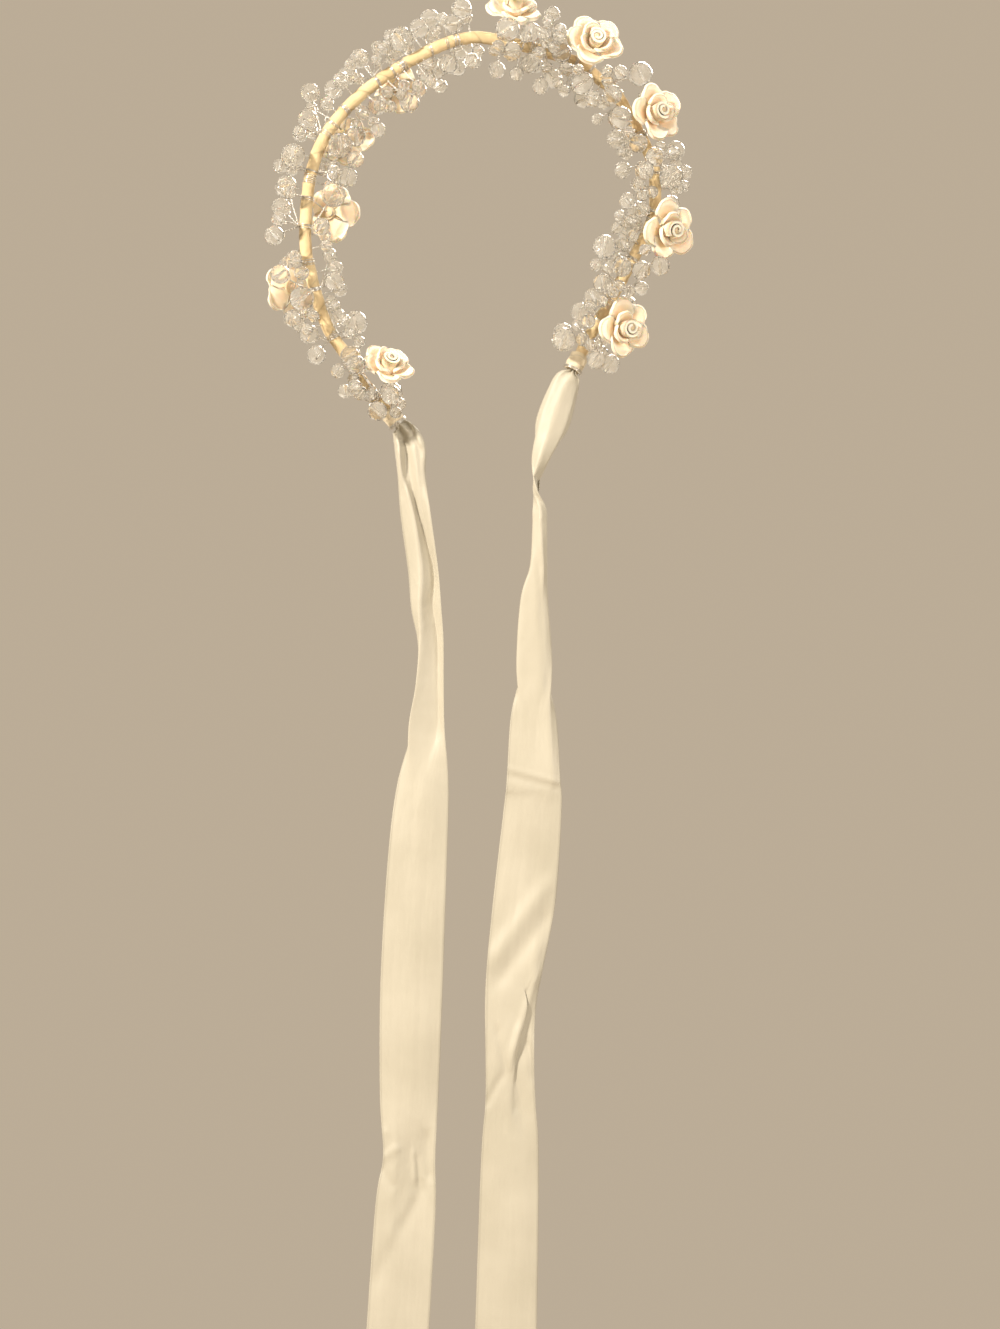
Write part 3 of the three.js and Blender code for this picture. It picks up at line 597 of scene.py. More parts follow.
def clay_look():
    """Matt ivory clay: a petal's v runs from its root to its rim."""
    spread = (1.0, 0.6, 0.35)
    look = Look(
        "ivory_clay", Subsurface_Weight=0.4, Subsurface_Scale=0.0025, Subsurface_Radius=spread
    )
    rise = look.add("SeparateXYZ", Vector=look.run).outputs[1]
    # Painted light: the petal is darker and warmer towards its root, painted shade deep between the
    # petals, and lighter at its rim, a painted highlight.
    root, blade, rim = (0.84, 0.64, 0.42), (0.90, 0.745, 0.55), (0.92, 0.81, 0.65)
    petal = look.ramp(rise, [(0.0, root), (0.4, blade), (0.95, rim)])
    cloud = look.ramp(look.noise(look.place, 220, 4), [(0.3, 0.9), (0.7, 1.0)])
    look.into("Base Color", look.mix(1.0, petal, cloud, "MULTIPLY"))
    grain = look.noise(look.place, 1400, 4, 0.6)
    dents = look.noise(look.place, 300, 2)
    height = look.math("ADD", look.math("MULTIPLY", grain, 0.15), dents)
    look.into("Normal", look.bump(height, 0.0003, 0.5))
    look.into("Roughness", look.ramp(grain, [(0.3, 0.5), (0.7, 0.68)]))
    return look.material


def crystal_look():
    """Clear faceted beads with a faint grey and tan cast and rubbed facets."""
    look = Look("clear_bead", Transmission_Weight=0.93, IOR=1.5)
    cast = look.noise(look.place, 90, 2)
    tint = look.ramp(cast, [(0.35, (0.93, 0.90, 0.84)), (0.65, (1.0, 0.985, 0.95))])
    look.into("Base Color", tint)
    rubbed = look.noise(look.place, 700, 3)
    look.into("Roughness", look.ramp(rubbed, [(0.35, 0.03), (0.75, 0.15)]))
    return look.material


def wire_look():
    """Silver craft wire, a little dull in places."""
    look = Look("silver_wire", Metallic=1.0)
    dull = look.noise(look.place, 500, 3)
    tone = look.ramp(dull, [(0.3, (0.62, 0.59, 0.54)), (0.7, (0.93, 0.91, 0.87))])
    look.into("Base Color", tone)
    look.into("Roughness", look.ramp(dull, [(0.3, 0.42), (0.7, 0.2)]))
    return look.material


TAPE = tape_look("wrapped_tape", (0.66, 0.48, 0.25), (0.81, 0.63, 0.36))
# The sleeves' tape is a paler, less orange copy of the hoop's tape: painted light, so the sleeves
# read as lit where they sit in shade.
LIT_BINDING = tape_look("lit_binding_tape", (0.72, 0.60, 0.42), (0.82, 0.71, 0.52))
SATIN, CLAY, CRYSTAL, WIRE = satin_look(), clay_look(), crystal_look(), wire_look()


# The hoop and its tape

HOOP_RINGS_A_TURN = 22
HOOP_SIDES = 28
TAPE_LIFT = 0.04
# The height of a lap's edge and its steep side's share of a turn.
LAP_RISE, LAP_STEEP = 0.2, 0.05
TAPE_UNEVEN, TAPE_CREASE = 0.08, 0.05


def tape_rise(run, angle, number=0):
    """The tape's rise where it has run so many turns, at a share of the way round."""
    phase = (run - angle) % 1
    lap = 1 - phase if phase > LAP_STEEP else phase / LAP_STEEP
    turn = floor(run - angle)
    uneven = TAPE_UNEVEN * (hashed(turn, number) - 0.5)
    crease = TAPE_CREASE * sin(tau * (3 * phase + 2 * hashed(turn, 3 + number)))
    return LAP_RISE * (lap - 1) + uneven + crease * (1 - phase)


def make_hoop():
    turns = HOOP_LENGTH / WRAP_PITCH
    rings = round(turns * HOOP_RINGS_A_TURN)
    rows = []
    for i in range(rings + 1):
        place = hoop_frame(i / rings)
        row = []
        for j in range(HOOP_SIDES):
            radius = HOOP_RADIUS + TAPE_LIFT + tape_rise(turns * i / rings, j / HOOP_SIDES)
            row.append(add(place[0], sideways(place, -360 * j / HOOP_SIDES), radius))
        rows.append(row)
    shape = Shape()
    base = shape.grid(rows, closed=True, uv=lambda i, j: (j / HOOP_SIDES, turns * i / rings))
    shape.face([base + j for j in reversed(range(HOOP_SIDES))])
    shape.face([base + rings * HOOP_SIDES + j for j in range(HOOP_SIDES)])
    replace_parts(shape.made("hoop_tape", TAPE, slot="tape"), "hoop")


# Wire: twisted stems and the turns that bind them to the hoop

STRAND_RADIUS = 0.17
STRAND_SIDES = 5
# Steps in a turn of the twist, and the fewest in a pair.
TWIST_PITCH, TWIST_STEPS, TWIST_LEAST = 2.3, 8, 6
# Steps in a turn of a coil, and how far its turns wander.
COIL_STEPS, COIL_WANDER = 20, 0.16
# Turns of a coil and their pitch.
ROSE_COIL, SPRAY_COIL = (3, 0.5), (2.5, 0.6)


def twisted_pair(shape, start, end, phase=0.0):
    """Two strands twisted round each other from start to end."""
    ahead = sub(end, start)
    length = sqrt(dot(ahead, ahead))
    axes = square_to(unit(ahead))
    steps = max(TWIST_LEAST, round(length / TWIST_PITCH * TWIST_STEPS))
    for strand in (0, 0.5):
        path = []
        for i in range(steps + 1):
            k = i / steps
            angle = tau * (length * k / TWIST_PITCH + strand + phase)
            path.append(on_ring(add(start, ahead, k), axes, STRAND_RADIUS, angle))
        shape.tube(path, STRAND_RADIUS, STRAND_SIDES)


def binding_coil(shape, at, turns, pitch, number):
    """A few turns of wire round the hoop, not quite even."""
    steps = round(turns * COIL_STEPS)
    start = 360 * hashed(number, 5)
    path = []
    for i in range(steps + 1):
        turn = i / COIL_STEPS
        wander = COIL_WANDER * sin(tau * (turn * 0.7 + hashed(number)))
        shift = (turn - turns / 2) * pitch + wander
        place = hoop_frame(min(1, max(0, at + shift / HOOP_LENGTH)))
        path.append(add(place[0], sideways(place, start + 360 * turn), HOOP_RADIUS + STRAND_RADIUS))
    shape.tube(path, STRAND_RADIUS, STRAND_SIDES)


# Beads

BEAD_SIDES = 12
# The hole's rim stands a little inside the ball.
HOLE_RADIUS, HOLE_SUNK = 0.5, 0.98
# Latitudes of the facets' corners.
BEAD_ROWS = [-66, -44, -22, 0, 22, 44, 66]
BEAD_AXES = 9
# The wire from the hole round the bead to its root: distance off the bead, steps, the angle where
# the two ends meet, how deep they start in the hole and how far off they are twisted.
LOOP_OFF, LOOP_STEPS, LOOP_OPEN, LOOP_DEEP, LOOP_NECK = 0.22, 6, 12, 0.3, 0.5
MOUTH_OFF = 0.4
STEM_LEAST = 0.7


def bead(shape, middle, radius, axis, spin):
    """A faceted round bead, drilled along its axis, its facets' corners staggered row by row."""
    axes = square_to(axis)

    def ring(size, height, shift):
        angles = [tau * (j + shift + spin) / BEAD_SIDES for j in range(BEAD_SIDES)]
        return [on_ring(add(middle, axis, height), axes, size, angle) for angle in angles]

    mouth = sqrt(radius**2 - HOLE_RADIUS**2) * HOLE_SUNK
    rings = [ring(HOLE_RADIUS, -mouth, 0)]
    for i, latitude in enumerate(BEAD_ROWS):
        angle = radians(latitude)
        rings.append(ring(radius * cos(angle), radius * sin(angle), i % 2 / 2))
    rings.append(ring(HOLE_RADIUS, mouth, 0))
    base = len(shape.points)
    for row in rings:
        shape.points += row
    for i in range(len(rings)):
        lower, upper = base + i * BEAD_SIDES, base + (i + 1) % len(rings) * BEAD_SIDES
        for j in range(BEAD_SIDES):
            k = (j + 1) % BEAD_SIDES
            a, b, c, d = lower + j, lower + k, upper + k, upper + j
            if not 1 <= i < len(BEAD_ROWS):
                shape.face([a, b, c, d])
            elif i % 2 == 0:
                shape.face([a, b, c])
                shape.face([a, c, d])
            else:
                shape.face([a, b, d])
                shape.face([b, c, d])


def bead_on_wire(beads, wires, root, middle, radius, others, number):
    """A bead, the wire through it, and the twisted stem that the wire's two ends make."""
    ahead = unit(sub(middle, root))
    axes = square_to(ahead)

    def room(axis):
        mouths = [add(middle, axis, k * (radius + MOUTH_OFF)) for k in (-1, 1)]
        return min((dist(m, p) - r for m in mouths for p, r in others), default=0)

    ways = [on_ring((0, 0, 0), axes, 1, pi * k / BEAD_AXES) for k in range(BEAD_AXES)]
    axis = max(ways, key=room)
    bead(beads, middle, radius, axis, hashed(number))
    loop = radius + LOOP_OFF
    path = []
    for way in (1, -1):
        leg = []
        for k in range(LOOP_STEPS + 1):
            turn = radians(LOOP_OPEN + (90 - LOOP_OPEN) * k / LOOP_STEPS)
            out = add(times(ahead, -cos(turn)), axis, way * sin(turn))
            leg.append(add(middle, out, loop))
        leg.append(add(middle, axis, way * (radius - LOOP_DEEP)))
        path += leg if way == 1 else leg[::-1]
    top = add(middle, ahead, -loop - LOOP_NECK)
    wires.tube([top, *path, top], STRAND_RADIUS, STRAND_SIDES)
    if dist(root, middle) > loop + STEM_LEAST:
        twisted_pair(wires, root, top, phase=hashed(number, 2))


# Roses

PETAL_WALL = 1.6
PETAL_ACROSS, PETAL_UP = 16, 12
# Petals in the ring, half the angle each spans, radius and height at the rim, at the root,
# how far the rim curls out, how far its tip is drawn to a point, and the ring's turn in petals.
PETAL_RINGS = [
    (5, 47, 0.9, 0.02, 0.14, -0.3, 0.18, 0.26, 0.0),
    (3, 62, 0.53, 0.18, 0.12, -0.28, 0.14, 0.14, 0.3),
]
# How far a petal's sides fall back from its tip, and how suddenly.
SIDE_FALL, SIDE_POWER = 0.36, 2.6
# How a petal opens and rises along its reach, and how far a tip past the rim still does so.
OPEN_POWER, RISE_POWER, RISE_MOST, TIP_OPEN = 0.8, 1.2, 1.15, 0.5
# Where the lip starts to curl, as a share of the petal's reach, the most that it curls, how far
# that takes it out and down, and its waves.
LIP_START, LIP_MOST = 0.66, 1.25
LIP_OUT, LIP_DOWN, LIP_POWER = 0.3, 0.5, 2.4
LIP_WAVE, LIP_WAVES = 0.03, 3.1
# One side of a petal stands a little inside the other.
PETAL_SKEW = 0.06
# How much thinner a petal is at its rim, and the curl at which its wall is fully laid over.
PETAL_TAPER, LAID_OVER = 0.25, 1.2
# The rolled bud in the middle: turns, first and last radius, height of its rim and its root.
BUD_TURNS, BUD_INNER, BUD_OUTER, BUD_HIGH, BUD_ROOT = 1.7, 0.05, 0.29, 0.34, -0.4
BUD_WALL = 1.15
BUD_STEPS, BUD_UP = 44, 3
# Roses whose wire is bent a little to the viewer, and how far.
BENT = {1: 0.35, 6: 0.8}
# The solid heart under the petals: from and to, in depths, and its radius in rose radii.
CORE_RUN = [-0.5, -0.2, 0.1, 0.3]
CORE_WIDE, CORE_SIDES = 0.2, 14
FOOT_OFF = 1.2
# How far a sheet's rim is rounded out, in its thickness.
RIM_ROUND = 0.42


def sheet_of_clay(shape, up, across, place):
    """A sheet's two faces and a rounded rim. place gives points for a row, a step and a face."""
    wide = across + 1
    faces = [[[place(i, j, k) for j in range(wide)] for i in range(up + 1)] for k in (-0.5, 0.5)]
    inside, outside = faces
    uv = lambda i, j: (j / across, i / up)
    a = shape.grid(inside, uv=uv, flip=True)
    b = shape.grid(outside, uv=uv)
    rim = [(i, 0) for i in range(up)] + [(up, j) for j in range(wide - 1)]
    rim += [(i, wide - 1) for i in range(up, 0, -1)] + [(0, j) for j in range(wide - 1, 0, -1)]
    ids = [i * wide + j for i, j in rim]
    c = len(shape.points)
    for i, j in rim:
        near = (min(max(i, 1), up - 1), min(max(j, 1), wide - 2))
        edge, inner = (mixed(inside[m][n], outside[m][n], 0.5) for m, n in ((i, j), near))
        thick = dist(inside[i][j], outside[i][j])
        shape.points.append(add(edge, unit(sub(edge, inner)), RIM_ROUND * thick))
    for k, here in enumerate(ids):
        m = (k + 1) % len(ids)
        after, spot = ids[m], (0, rim[k][0] / up)
        shape.face([a + here, a + after, c + m, c + k], spot)
        shape.face([c + k, c + m, b + after, b + here], spot)


def petal(shape, rose, axes, ring, index, number):
    """One petal. u runs across it from -1 to 1, v up it from 0 to 1."""
    count, half, rim, high, root, low, curl, tip, shift = ring
    spin = tau * (index + shift + 0.3 * (hashed(index, number) - 0.5)) / count
    width = radians(half * (0.94 + 0.14 * hashed(index, number, 4)))
    open_by = 1 + 0.1 * (hashed(index, number, 9) - 0.5)
    raised = 0.16 * (hashed(index, number, 12) - 0.4) * rim
    wave = tau * hashed(index, number, 7)

    def place(i, j, wall):
        u = 2 * j / PETAL_ACROSS - 1
        v = i / PETAL_UP
        reach = v * (1 - SIDE_FALL * abs(u) ** SIDE_POWER + tip * (1 - u * u) ** 3)
        roll = sin(min(reach, 1) * pi / 2)
        radius = root + (rim * open_by - root) * roll**OPEN_POWER
        radius += TIP_OPEN * rim * max(0, reach - 1)
        height = low + (high + raised - low) * min(reach, RISE_MOST) ** RISE_POWER
        lip = min(LIP_MOST, max(0, reach - LIP_START) / (1 - LIP_START))
        radius += curl * LIP_OUT * lip**2
        height -= curl * LIP_DOWN * lip**LIP_POWER
        height += LIP_WAVE * lip * sin(LIP_WAVES * u + wave)
        radius *= 1 + PETAL_SKEW * u - PETAL_SKEW * u * u
        angle = spin + u * width * (0.5 + 0.5 * roll) * (1 - 0.1 * lip * abs(u))
        thick = PETAL_WALL * wall * (1 - PETAL_TAPER * v)
        laid = min(lip, LAID_OVER)
        r = radius * rose.radius + thick * (1 - 0.5 * laid)
        z = height * ROSE_DEPTH * rose.size - thick * (0.4 + 0.6 * laid)
        return on_ring(add(rose.middle, rose.facing, z), axes, r, angle)

    sheet_of_clay(shape, PETAL_UP, PETAL_ACROSS, place)


def rolled_bud(shape, rose, axes, number):
    """The bud: one narrow petal rolled up, its rim a spiral."""

    def place(i, j, wall):
        k = j / BUD_STEPS
        angle = tau * (BUD_TURNS * k + hashed(number, 6))
        radius = BUD_INNER + (BUD_OUTER - BUD_INNER) * k + 0.015 * i
        high = BUD_HIGH - 0.05 * k if i == BUD_UP else BUD_ROOT + (BUD_HIGH + 0.3) * i / BUD_UP
        centre = add(rose.middle, rose.facing, high * ROSE_DEPTH * rose.size)
        return on_ring(centre, axes, radius * rose.radius + wall * BUD_WALL, angle)

    sheet_of_clay(shape, BUD_UP, BUD_STEPS, place)


def make_rose(row, number):
    rose = rose_place(row)
    rose.facing = unit(add(rose.facing, (0, -1, 0), BENT.get(number, 0)))
    axes = square_to(rose.facing)
    flower = Shape()
    for ring in PETAL_RINGS:
        for index in range(ring[0]):
            petal(flower, rose, axes, ring, index, number)
    rolled_bud(flower, rose, axes, number)
    core = [add(rose.middle, rose.facing, k * ROSE_DEPTH * rose.size) for k in CORE_RUN]
    flower.tube(core, CORE_WIDE * rose.radius, CORE_SIDES)
    name = f"rose_{number:02d}"
    piece = flower.made(name + "_flower", CLAY, slot="clay")
    wires = Shape()
    bind = hoop_frame(rose.band)
    foot = add(rose.middle, rose.facing, -FOOT_DEPTH * ROSE_DEPTH * rose.size - FOOT_OFF)
    start = add(bind[0], unit(sub(rose.stem, bind[0])), HOOP_RADIUS + STRAND_RADIUS)
    twisted_pair(wires, start, foot)
    binding_coil(wires, rose.band, *ROSE_COIL, number)
    wires.made(name + "_wire", WIRE)
    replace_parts(piece, name)


def wired_beads(name, beads, turns_at):
    """Beads, each with its root on the hoop, and the turns of wire that bind them on."""
    glass, wires = Shape(), Shape()
    for i, (middle, radius, root) in enumerate(beads):
        others = [b[:2] for k, b in enumerate(beads) if k != i]
        seed = i + 10 * len(name) + 100 * turns_at
        bead_on_wire(glass, wires, root, middle, radius, others, seed)
    binding_coil(wires, turns_at, *SPRAY_COIL, 20 + len(beads) + turns_at)
    wires.made(name + "_wire", WIRE)
    return glass.made(name + "_beads", CRYSTAL, smooth=False, slot="crystal")


def root_of(bind, middle):
    """Where the stem to a point leaves the hoop's surface."""
    return add(bind[0], unit(sub(stem_root(bind, middle), bind[0])), HOOP_RADIUS + STRAND_RADIUS)


def make_sprays(balls):
    """The sprays of the solid model. Returns all their beads."""
    placed = []
    for number, spray in enumerate(SPRAYS, 1):
        at = along_spray(spray, SPRAY_BAND)
        bind = hoop_frame(at)
        beads = [(m, r, root_of(bind, m)) for m, r in settled_beads(spray, number, balls)]
        name = f"bead_spray_{number:02d}"
        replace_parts(wired_beads(name, beads, at), name)
        placed += beads
    return placed


# Smaller beads that fill the room between the sprays: start and stop along the hoop, how many at
# most, the middle and half the spread of their rolls, and how far off the hoop the last may stand.
FILLS = [
    (0.004, 0.075, 8, 0, 45, 6),
    (0.08, 0.135, 4, -80, 45, 5),
    (0.115, 0.2, 8, 70, 50, 8),
    (0.14, 0.235, 6, -80, 45, 6),
    (0.25, 0.29, 3, 95, 45, 7),
    (0.24, 0.31, 5, -90, 45, 7),
    (0.29, 0.38, 6, 105, 45, 8),
    (0.31, 0.4, 8, -100, 50, 9),
    (0.38, 0.46, 9, 105, 45, 9),
    (0.4, 0.46, 7, -100, 50, 8),
    (0.455, 0.515, 6, 95, 40, 7),
    (0.47, 0.52, 3, -100, 35, 6),
    (0.535, 0.6, 12, 0, 80, 9),
    (0.59, 0.665, 11, -25, 65, 9),
    (0.665, 0.7, 4, -60, 40, 8),
    (0.695, 0.765, 12, -25, 60, 9),
    (0.75, 0.8, 5, 70, 45, 7),
    (0.785, 0.865, 13, -15, 65, 9),
    (0.86, 0.895, 4, -80, 40, 6),
    (0.895, 0.965, 13, -15, 60, 9),
    (0.96, 0.985, 5, 0, 75, 6),
]
FILL_SIZES = [6, 5, 7, 5]
FILL_TRIES = 400
ROSE_FLAT = 1.5
WIRE_ROOM = 0.9
STEM_ROOM = 0.35


def line_gap(point, start, end):
    return dist(point, on_line(point, start, end))


def rose_gap(rose, point):
    """How far a point is from a rose's middle, in a space where the rose is a ball."""
    way = sub(point, rose.middle)
    return sqrt(dot(way, way) + (ROSE_FLAT**2 - 1) * dot(way, rose.facing) ** 2)


def make_fills(placed, balls):
    """Beads thrown one by one on each stretch, and kept where they are clear of all the rest."""
    flowers = [rose_place(row) for row in ROSES]
    balls = [ball for ball in balls if ball[1] < ROSE_DEPTH / 2]
    for number, (start, stop, most, middle_roll, spread, far) in enumerate(FILLS):
        beads = []
        for k in range(FILL_TRIES):
            if len(beads) == most:
                break
            bind = hoop_frame(start + (stop - start) * hashed(k, number, 1))
            roll = middle_roll + spread * (2 * hashed(k, number, 2) - 1)
            radius = FILL_SIZES[(k + number) % len(FILL_SIZES)] / 2
            out = sideways(bind, roll)
            off = HOOP_RADIUS + radius + WIRE_ROOM + far * hashed(k, number, 3)
            at, root = add(bind[0], out, off), add(bind[0], out, HOOP_RADIUS + STRAND_RADIUS)
            clear = all(dist(at, m) > r + radius + BEAD_GAP for m, r, _ in placed)
            clear = clear and all(line_gap(at, base, m) > radius + STEM_ROOM for m, _, base in placed)
            clear = clear and all(line_gap(m, root, at) > r + STEM_ROOM for m, r, _ in placed)
            clear = clear and all(rose_gap(f, at) > f.radius + ROSE_FLAT * radius for f in flowers)
            if clear and all(dist(at, m) > r + radius + CLEARANCE for m, r in balls):
                beads.append((at, radius, root))
                placed.append(beads[-1])
        if beads:
            wired_beads(f"small_beads_{number + 1:02d}", beads, (start + stop) / 2)


# Ribbons and their bindings


def hoop_end(at):
    """The hoop's end and the direction that runs on from it, in the row frame."""
    place = hoop_frame(at)
    return turned(place[0]), turned(times(place[1], 1 if at else -1))


SLEEVE_LOOK_SIDES, SLEEVE_RINGS, SLEEVE_RINGS_A_TURN = 30, 40, 17
SLEEVE_PITCH, SLEEVE_SEED = 4.6, 7
# How much shorter it is at each end than the solid, how it swells, and how its ends wander.
SLEEVE_SHORT, SLEEVE_SWELL, SLEEVE_SUNK = 0.4, 0.16, 0.12
SLEEVE_WANDER, SLEEVE_LAP = 0.35, 0.9
# The turns of wire round its mouth: where they start, pitch, radius, steps in a turn and in all.
THREAD_START, THREAD_PITCH, THREAD_RADIUS = 1.4, 0.42, 0.16
THREAD_TURN, THREAD_STEPS = 22, 75


def make_sleeve(name, end, node):
    """The tape wound round the hoop's end and the ribbon's neck, with its lap edges."""
    point, onward = end
    axes = square_to(onward)
    outer = sleeve_inner + SLEEVE_WALL

    def ring(radius, run, wrapped):
        row = []
        for j in range(SLEEVE_LOOK_SIDES):
            angle = tau * j / SLEEVE_LOOK_SIDES
            size, at = radius, run
            if wrapped:
                size += SLEEVE_LAP * tape_rise(run / SLEEVE_PITCH, j / SLEEVE_LOOK_SIDES, SLEEVE_SEED)
                at += SLEEVE_WANDER * sin(angle * 3 + 1)
            row.append(on_ring(add(point, onward, at), axes, size, angle))
        return row

    start, stop = SLEEVE_SHORT - SLEEVE_GRIP, SLEEVE_LENGTH - SLEEVE_GRIP - SLEEVE_SHORT
    rows = [ring(sleeve_inner, start, False)]
    for i in range(SLEEVE_RINGS + 1):
        k = i / SLEEVE_RINGS
        swell = SLEEVE_SWELL * sin(pi * k)
        rows.append(ring(outer - SLEEVE_SUNK + swell, start + (stop - start) * k, True))
    rows.append(ring(sleeve_inner, stop, False))
    rows.append(rows[0])
    shape = Shape()
    shape.grid(rows, closed=True, uv=lambda i, j: (j / SLEEVE_LOOK_SIDES, i / SLEEVE_RINGS_A_TURN))
    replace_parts(shape.made(name, LIT_BINDING, slot="tape", place=tuple), node)
    thread = Shape()
    path = []
    for i in range(THREAD_STEPS + 1):
        centre = add(point, onward, THREAD_START + THREAD_PITCH * i / THREAD_TURN)
        path.append(on_ring(centre, axes, outer + THREAD_RADIUS, tau * i / THREAD_TURN))
    thread.tube(path, THREAD_RADIUS, STRAND_SIDES)
    thread.made(name + "_thread", WIRE, place=tuple)


LEFT_LENGTH, RIGHT_LENGTH = 389, 410
RIBBON_ACROSS, RIBBON_DOWN = 48, 420
SATIN_WALL = 0.32
FOLD_ROUND = 0.2
# The cloth's folds are a little shallower than the solid's.
FOLD_SHARE = 0.78
# Half turns of the gathers in each quarter of the width, where they start, and their turn from
# one section to the next.
GATHER_TURN, GATHER_START, GATHER_SHIFT = 1.25, 0.6, 0.5
# The gathers' depth at each section from the neck on.
LEFT_GATHERS = [0.6, 0.6, 1.0, 0.85, 0.5, 0.2, 0, 0]
RIGHT_GATHERS = [0.6, 0.6, 0.4, 0.15, 0, 0]

# Creases in the row's XZ plane: from, to, rise to the viewer and spread.
LEFT_CREASES = [
    (-36.5, -153.5, -28.0, -158.5, 1.3, 1.2),
    (-36.5, -157.5, -30.5, -163.0, -1.0, 1.1),
    (-28.5, -153.0, -24.0, -164.5, 1.0, 0.9),
    (-31.0, -155.5, -31.5, -186, -0.8, 1.3),
    (-27.5, -158, -24.5, -196, 0.8, 1.2),
    (-33.8, -163.0, -34.0, -184.0, 0.7, 1.1),
    (-22.7, -459.5, -35.0, -482.8, -0.8, 3.0),
    (-26.5, -463.5, -37.0, -482.0, 0.5, 2.6),
    (-35.0, -483.3, -44.0, -503.5, -0.6, 3.2),
    (-27.8, -446.7, -27.0, -461.5, 0.5, 1.0),
    (-26.4, -449.0, -25.3, -463.0, -0.4, 1.2),
    (-21.9, -438.7, -20.9, -461.7, -0.9, 2.0),
    (-41.8, -452.4, -33.0, -445.7, 0.5, 1.8),
    (-41.8, -454.0, -35.0, -464.0, -0.5, 2.0),
    (-39.0, -438.0, -41.0, -452.0, 0.5, 1.8),
]
RIGHT_CREASES = [
    (8.2, -293.6, 33.7, -300.2, 0.4, 1.1),
    (8.2, -296.4, 33.7, -303.2, -0.4, 1.9),
    (23.1, -205.2, 24.8, -240.6, -0.6, 1.4),
    (24.8, -236.6, 26.6, -262.9, -0.4, 1.6),
    (30.0, -336.9, 0.5, -376.9, 1.0, 3.4),
    (30.0, -350.0, 3.0, -386.0, -0.8, 3.2),
    (23.8, -374.1, 10.9, -415.2, 0.9, 1.6),
    (27.0, -378.0, 13.8, -417.0, -0.9, 3.0),
    (5.5, -398.1, 10.4, -420.3, -0.6, 1.5),
    (15.6, -398.1, 10.9, -419.3, 0.6, 1.4),
    (18.5, -404.2, 21.4, -423.3, -0.7, 1.4),
    (21.4, -404.2, 22.8, -420.3, 0.5, 1.2),
    (9.5, -417.5, 0.5, -433.5, -0.6, 1.8),
    (12.0, -419.5, 14.0, -436.0, -0.4, 1.8),
]


def creased(point, creases):
    """How far the creases lift the cloth to the viewer at a point. They fade towards their ends."""
    lift = 0
    for x0, z0, x1, z1, rise, spread in creases:
        start, end, flat = (x0, 0, z0), (x1, 0, z1), (point[0], 0, point[2])
        near = on_line(flat, start, end)
        share = dist(near, start) / dist(end, start)
        fade = min(1, 6 * share * (1 - share) + 0.15)
        lift += rise * fade * exp(-((dist(flat, near) / spread) ** 2))
    return lift


def fold_place(places, across):
    """The place from 0 to 4 across a line with four straight stretches, its bends rounded."""

    def straight(spot):
        i = min(int(spot), 3)
        (a, b), (c, d) = places[i], places[i + 1]
        return (a + (c - a) * (spot - i), b + (d - b) * (spot - i))

    reach = min(FOLD_ROUND, across, 4 - across)
    spots = [straight(across + k * reach) for k in (-1, -0.5, 0, 0.5, 1)]
    return tuple(sum(values) / len(spots) for values in zip(*spots))


def ribbon_sections(end, rows):
    """Each section's middle and then its five places, to the right and behind, in one tuple."""
    point, onward = end
    mouth = SLEEVE_LENGTH - SLEEVE_GRIP
    fall = RIBBON_DROP + point[2]
    neck = NECK_WIDE / RIBBON_WIDTH
    sections = [
        (add(point, onward, CLEARANCE), neck, 0, "gathered"),
        (add(point, onward, mouth), neck, 0, "gathered"),
        (add(point, onward, mouth + NECK_FLARE), FLARE_WIDE, FLARE_DEEP, rows[0][-1]),
    ]
    for down, shift, back, wide, deep, form in rows:
        centre = add(point, (shift * RIBBON_WIDTH, back * RIBBON_WIDTH, -down * fall))
        sections.append((centre, wide, deep, form))
    flat = []
    for centre, wide, deep, form in sections:
        places = [
            (across * wide * RIBBON_WIDTH / 2, behind * deep * FOLD_SHARE * RIBBON_WIDTH)
            for across, behind in zip(*RIBBON_FORMS[form])
        ]
        flat.append((*centre, *(value for place in places for value in place)))
    return flat


def make_ribbon(name, node, end, rows, gathers, creases, length):
    """A ribbon of a flat length from its rows, with gathers at its neck and creases."""
    sections = ribbon_sections(end, rows)
    stages = len(sections) - 1
    grid = []
    for i in range(RIBBON_DOWN + 1):
        t = i / RIBBON_DOWN
        before, after = (spline(sections, min(1, max(0, t + d)))[:3] for d in (-1e-4, 1e-4))
        along = unit(sub(after, before))
        here = spline(sections, t)
        centre, places = here[:3], list(zip(here[3::2], here[4::2]))
        across = unit((-along[2], 0, along[0]))
        behind = unit(cross(across, along))
        stage = min(t * stages, len(gathers) - 1.001)
        deeper = stage - int(stage)
        gather = gathers[int(stage)] * (1 - deeper) + gathers[int(stage) + 1] * deeper
        line = []
        for j in range(RIBBON_ACROSS + 1):
            k = 4 * j / RIBBON_ACROSS
            right, back = fold_place(places, k)
            wave = GATHER_TURN * pi * k + GATHER_START + GATHER_SHIFT * stage
            back += gather * sin(wave)
            spot = add(add(centre, across, right), behind, back)
            line.append(add(spot, (0, -creased(spot, creases), 0)))
        grid.append(line)
    shape = Shape()
    shape.grid(grid, uv=lambda i, j: (j / RIBBON_ACROSS, i / RIBBON_DOWN * length / RIBBON_WIDTH))
    piece = shape.made(name, SATIN, slot="satin", place=tuple)
    wall = piece.modifiers.new("thickness", "SOLIDIFY")
    wall.thickness = SATIN_WALL * MM
    wall.offset = 0
    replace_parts(piece, node)


# All of it

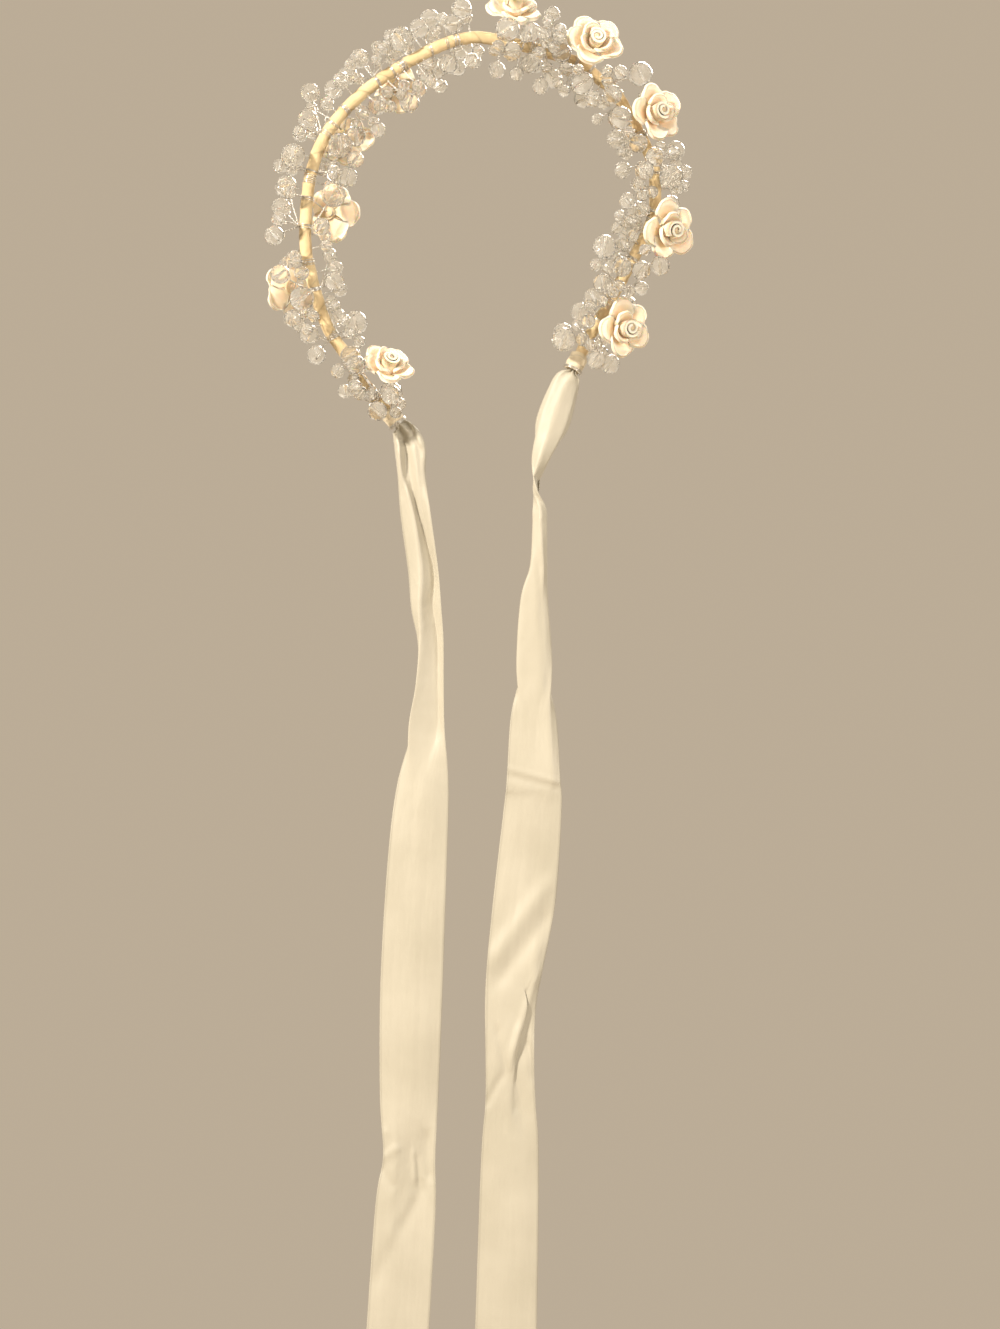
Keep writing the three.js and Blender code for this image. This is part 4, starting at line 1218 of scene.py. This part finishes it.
make_hoop()
for number, row in enumerate(ROSES, 1):
    make_rose(row, number)
clear_balls = balls_to_clear()
make_fills(make_sprays(clear_balls), clear_balls)
left_end, right_end = hoop_end(0), hoop_end(1)
make_sleeve("left_binding", left_end, "end_binding_left")
make_sleeve("right_binding", right_end, "end_binding_right")
left_make = (LEFT_RIBBON, LEFT_GATHERS, LEFT_CREASES, LEFT_LENGTH)
right_make = (RIGHT_RIBBON, RIGHT_GATHERS, RIGHT_CREASES, RIGHT_LENGTH)
make_ribbon("left_tail", "ribbon_left", left_end, *left_make)
make_ribbon("right_tail", "ribbon_right", right_end, *right_make)


# Floor, light and camera

FLOOR_RADIUS, FLOOR_DOWN, FLOOR_SIDES = 2500, 1350, 96
FLOOR_TONE = (0.62, 0.55, 0.46)
WALL_TONE = (0.50, 0.415, 0.31)
BEAD_TONE = (0.62, 0.52, 0.39)


def floor_look():
    look = Look("pale_floor", Roughness=0.8)
    low, high = times(FLOOR_TONE, 0.99), FLOOR_TONE
    tone = look.ramp(look.noise(look.place, 2, 2), [(0.3, low), (0.7, high)])
    look.into("Base Color", tone)
    return look.material


def make_stage():
    angles = [tau * k / FLOOR_SIDES for k in range(FLOOR_SIDES)]
    rim = [(FLOOR_RADIUS * cos(a), FLOOR_RADIUS * sin(a), -FLOOR_DOWN) for a in angles]
    mesh = bpy.data.meshes.new("floor")
    mesh.from_pydata([times(p, MM) for p in rim], [], [list(range(FLOOR_SIDES))])
    mesh.materials.append(floor_look())
    added("floor", mesh)


# Name, place, aim, side, power, colour and whether it shows through the beads.
LAMPS = [
    ("key", (-900, -950, 430), (0, 0, -180), 140, 32, (1.0, 0.93, 0.82), True),
    ("fill", (900, -900, -100), (0, 0, -200), 420, 7, (1.0, 0.94, 0.86), True),
    ("rim", (300, 900, 500), (0, 0, -100), 500, 12, (1.0, 0.94, 0.86), False),
]


def lamp(name, place, aim, side, power, colour, seen):
    data = bpy.data.lights.new(name, "AREA")
    data.size = side * MM
    data.energy = power
    data.color = colour
    light = added(name, data)
    light.location = times(place, MM)
    light.rotation_euler = Vector(sub(aim, place)).to_track_quat("-Z", "Y").to_euler()
    light.visible_transmission = seen


def make_world():
    """A soft studio: a plain wall behind the piece, and the room before it, lit from above.

    Matt pieces get more light from below than beads do, as if from a wall near them.
    """
    world = bpy.data.worlds.new("studio")
    tree = Tree(world)
    spot = tree.add("TexCoord").outputs["Generated"]
    axes = tree.add("SeparateXYZ", Vector=spot).outputs
    back, rise = (tree.add("MapRange", i0=axes[k], i1=-1).outputs[0] for k in (1, 2))
    path = tree.add("LightPath").outputs
    above = (0.8, (0.98, 0.9, 0.78))
    room = tree.ramp(rise, [(0.25, (0.13, 0.11, 0.08)), (0.5, (0.42, 0.36, 0.29)), above])
    soft = tree.ramp(rise, [(0.25, (0.34, 0.28, 0.2)), (0.5, (0.5, 0.43, 0.34)), above])
    lit = tree.mix(path["Is Diffuse Ray"], room, soft)
    lit = tree.mix(tree.ramp(back, [(0.66, 0), (0.88, 1)]), lit, (*BEAD_TONE, 1))
    around = tree.add("Background", Color=lit).outputs[0]
    seen = tree.nodes["Background"]
    seen.inputs[0].default_value = (*WALL_TONE, 1)
    both = tree.add("MixShader", i0=path["Is Camera Ray"], i1=around, i2=seen.outputs[0])
    tree.link(both.outputs[0], tree.nodes["World Output"].inputs[0])
    bpy.context.scene.world = world


def make_camera():
    data = bpy.data.cameras.new("camera")
    data.lens = data.sensor_width * VIEW_DISTANCE / VIEW_HEIGHT
    camera = added("camera", data)
    camera.location = (VIEW_ACROSS * MM, -VIEW_DISTANCE * MM, -VIEW_DOWN * MM)
    camera.rotation_euler = (pi / 2, 0, 0)
    bpy.context.scene.camera = camera


make_stage()
make_world()
for row in LAMPS:
    lamp(*row)
make_camera()
bpy.context.scene.view_settings.view_transform = "Standard"
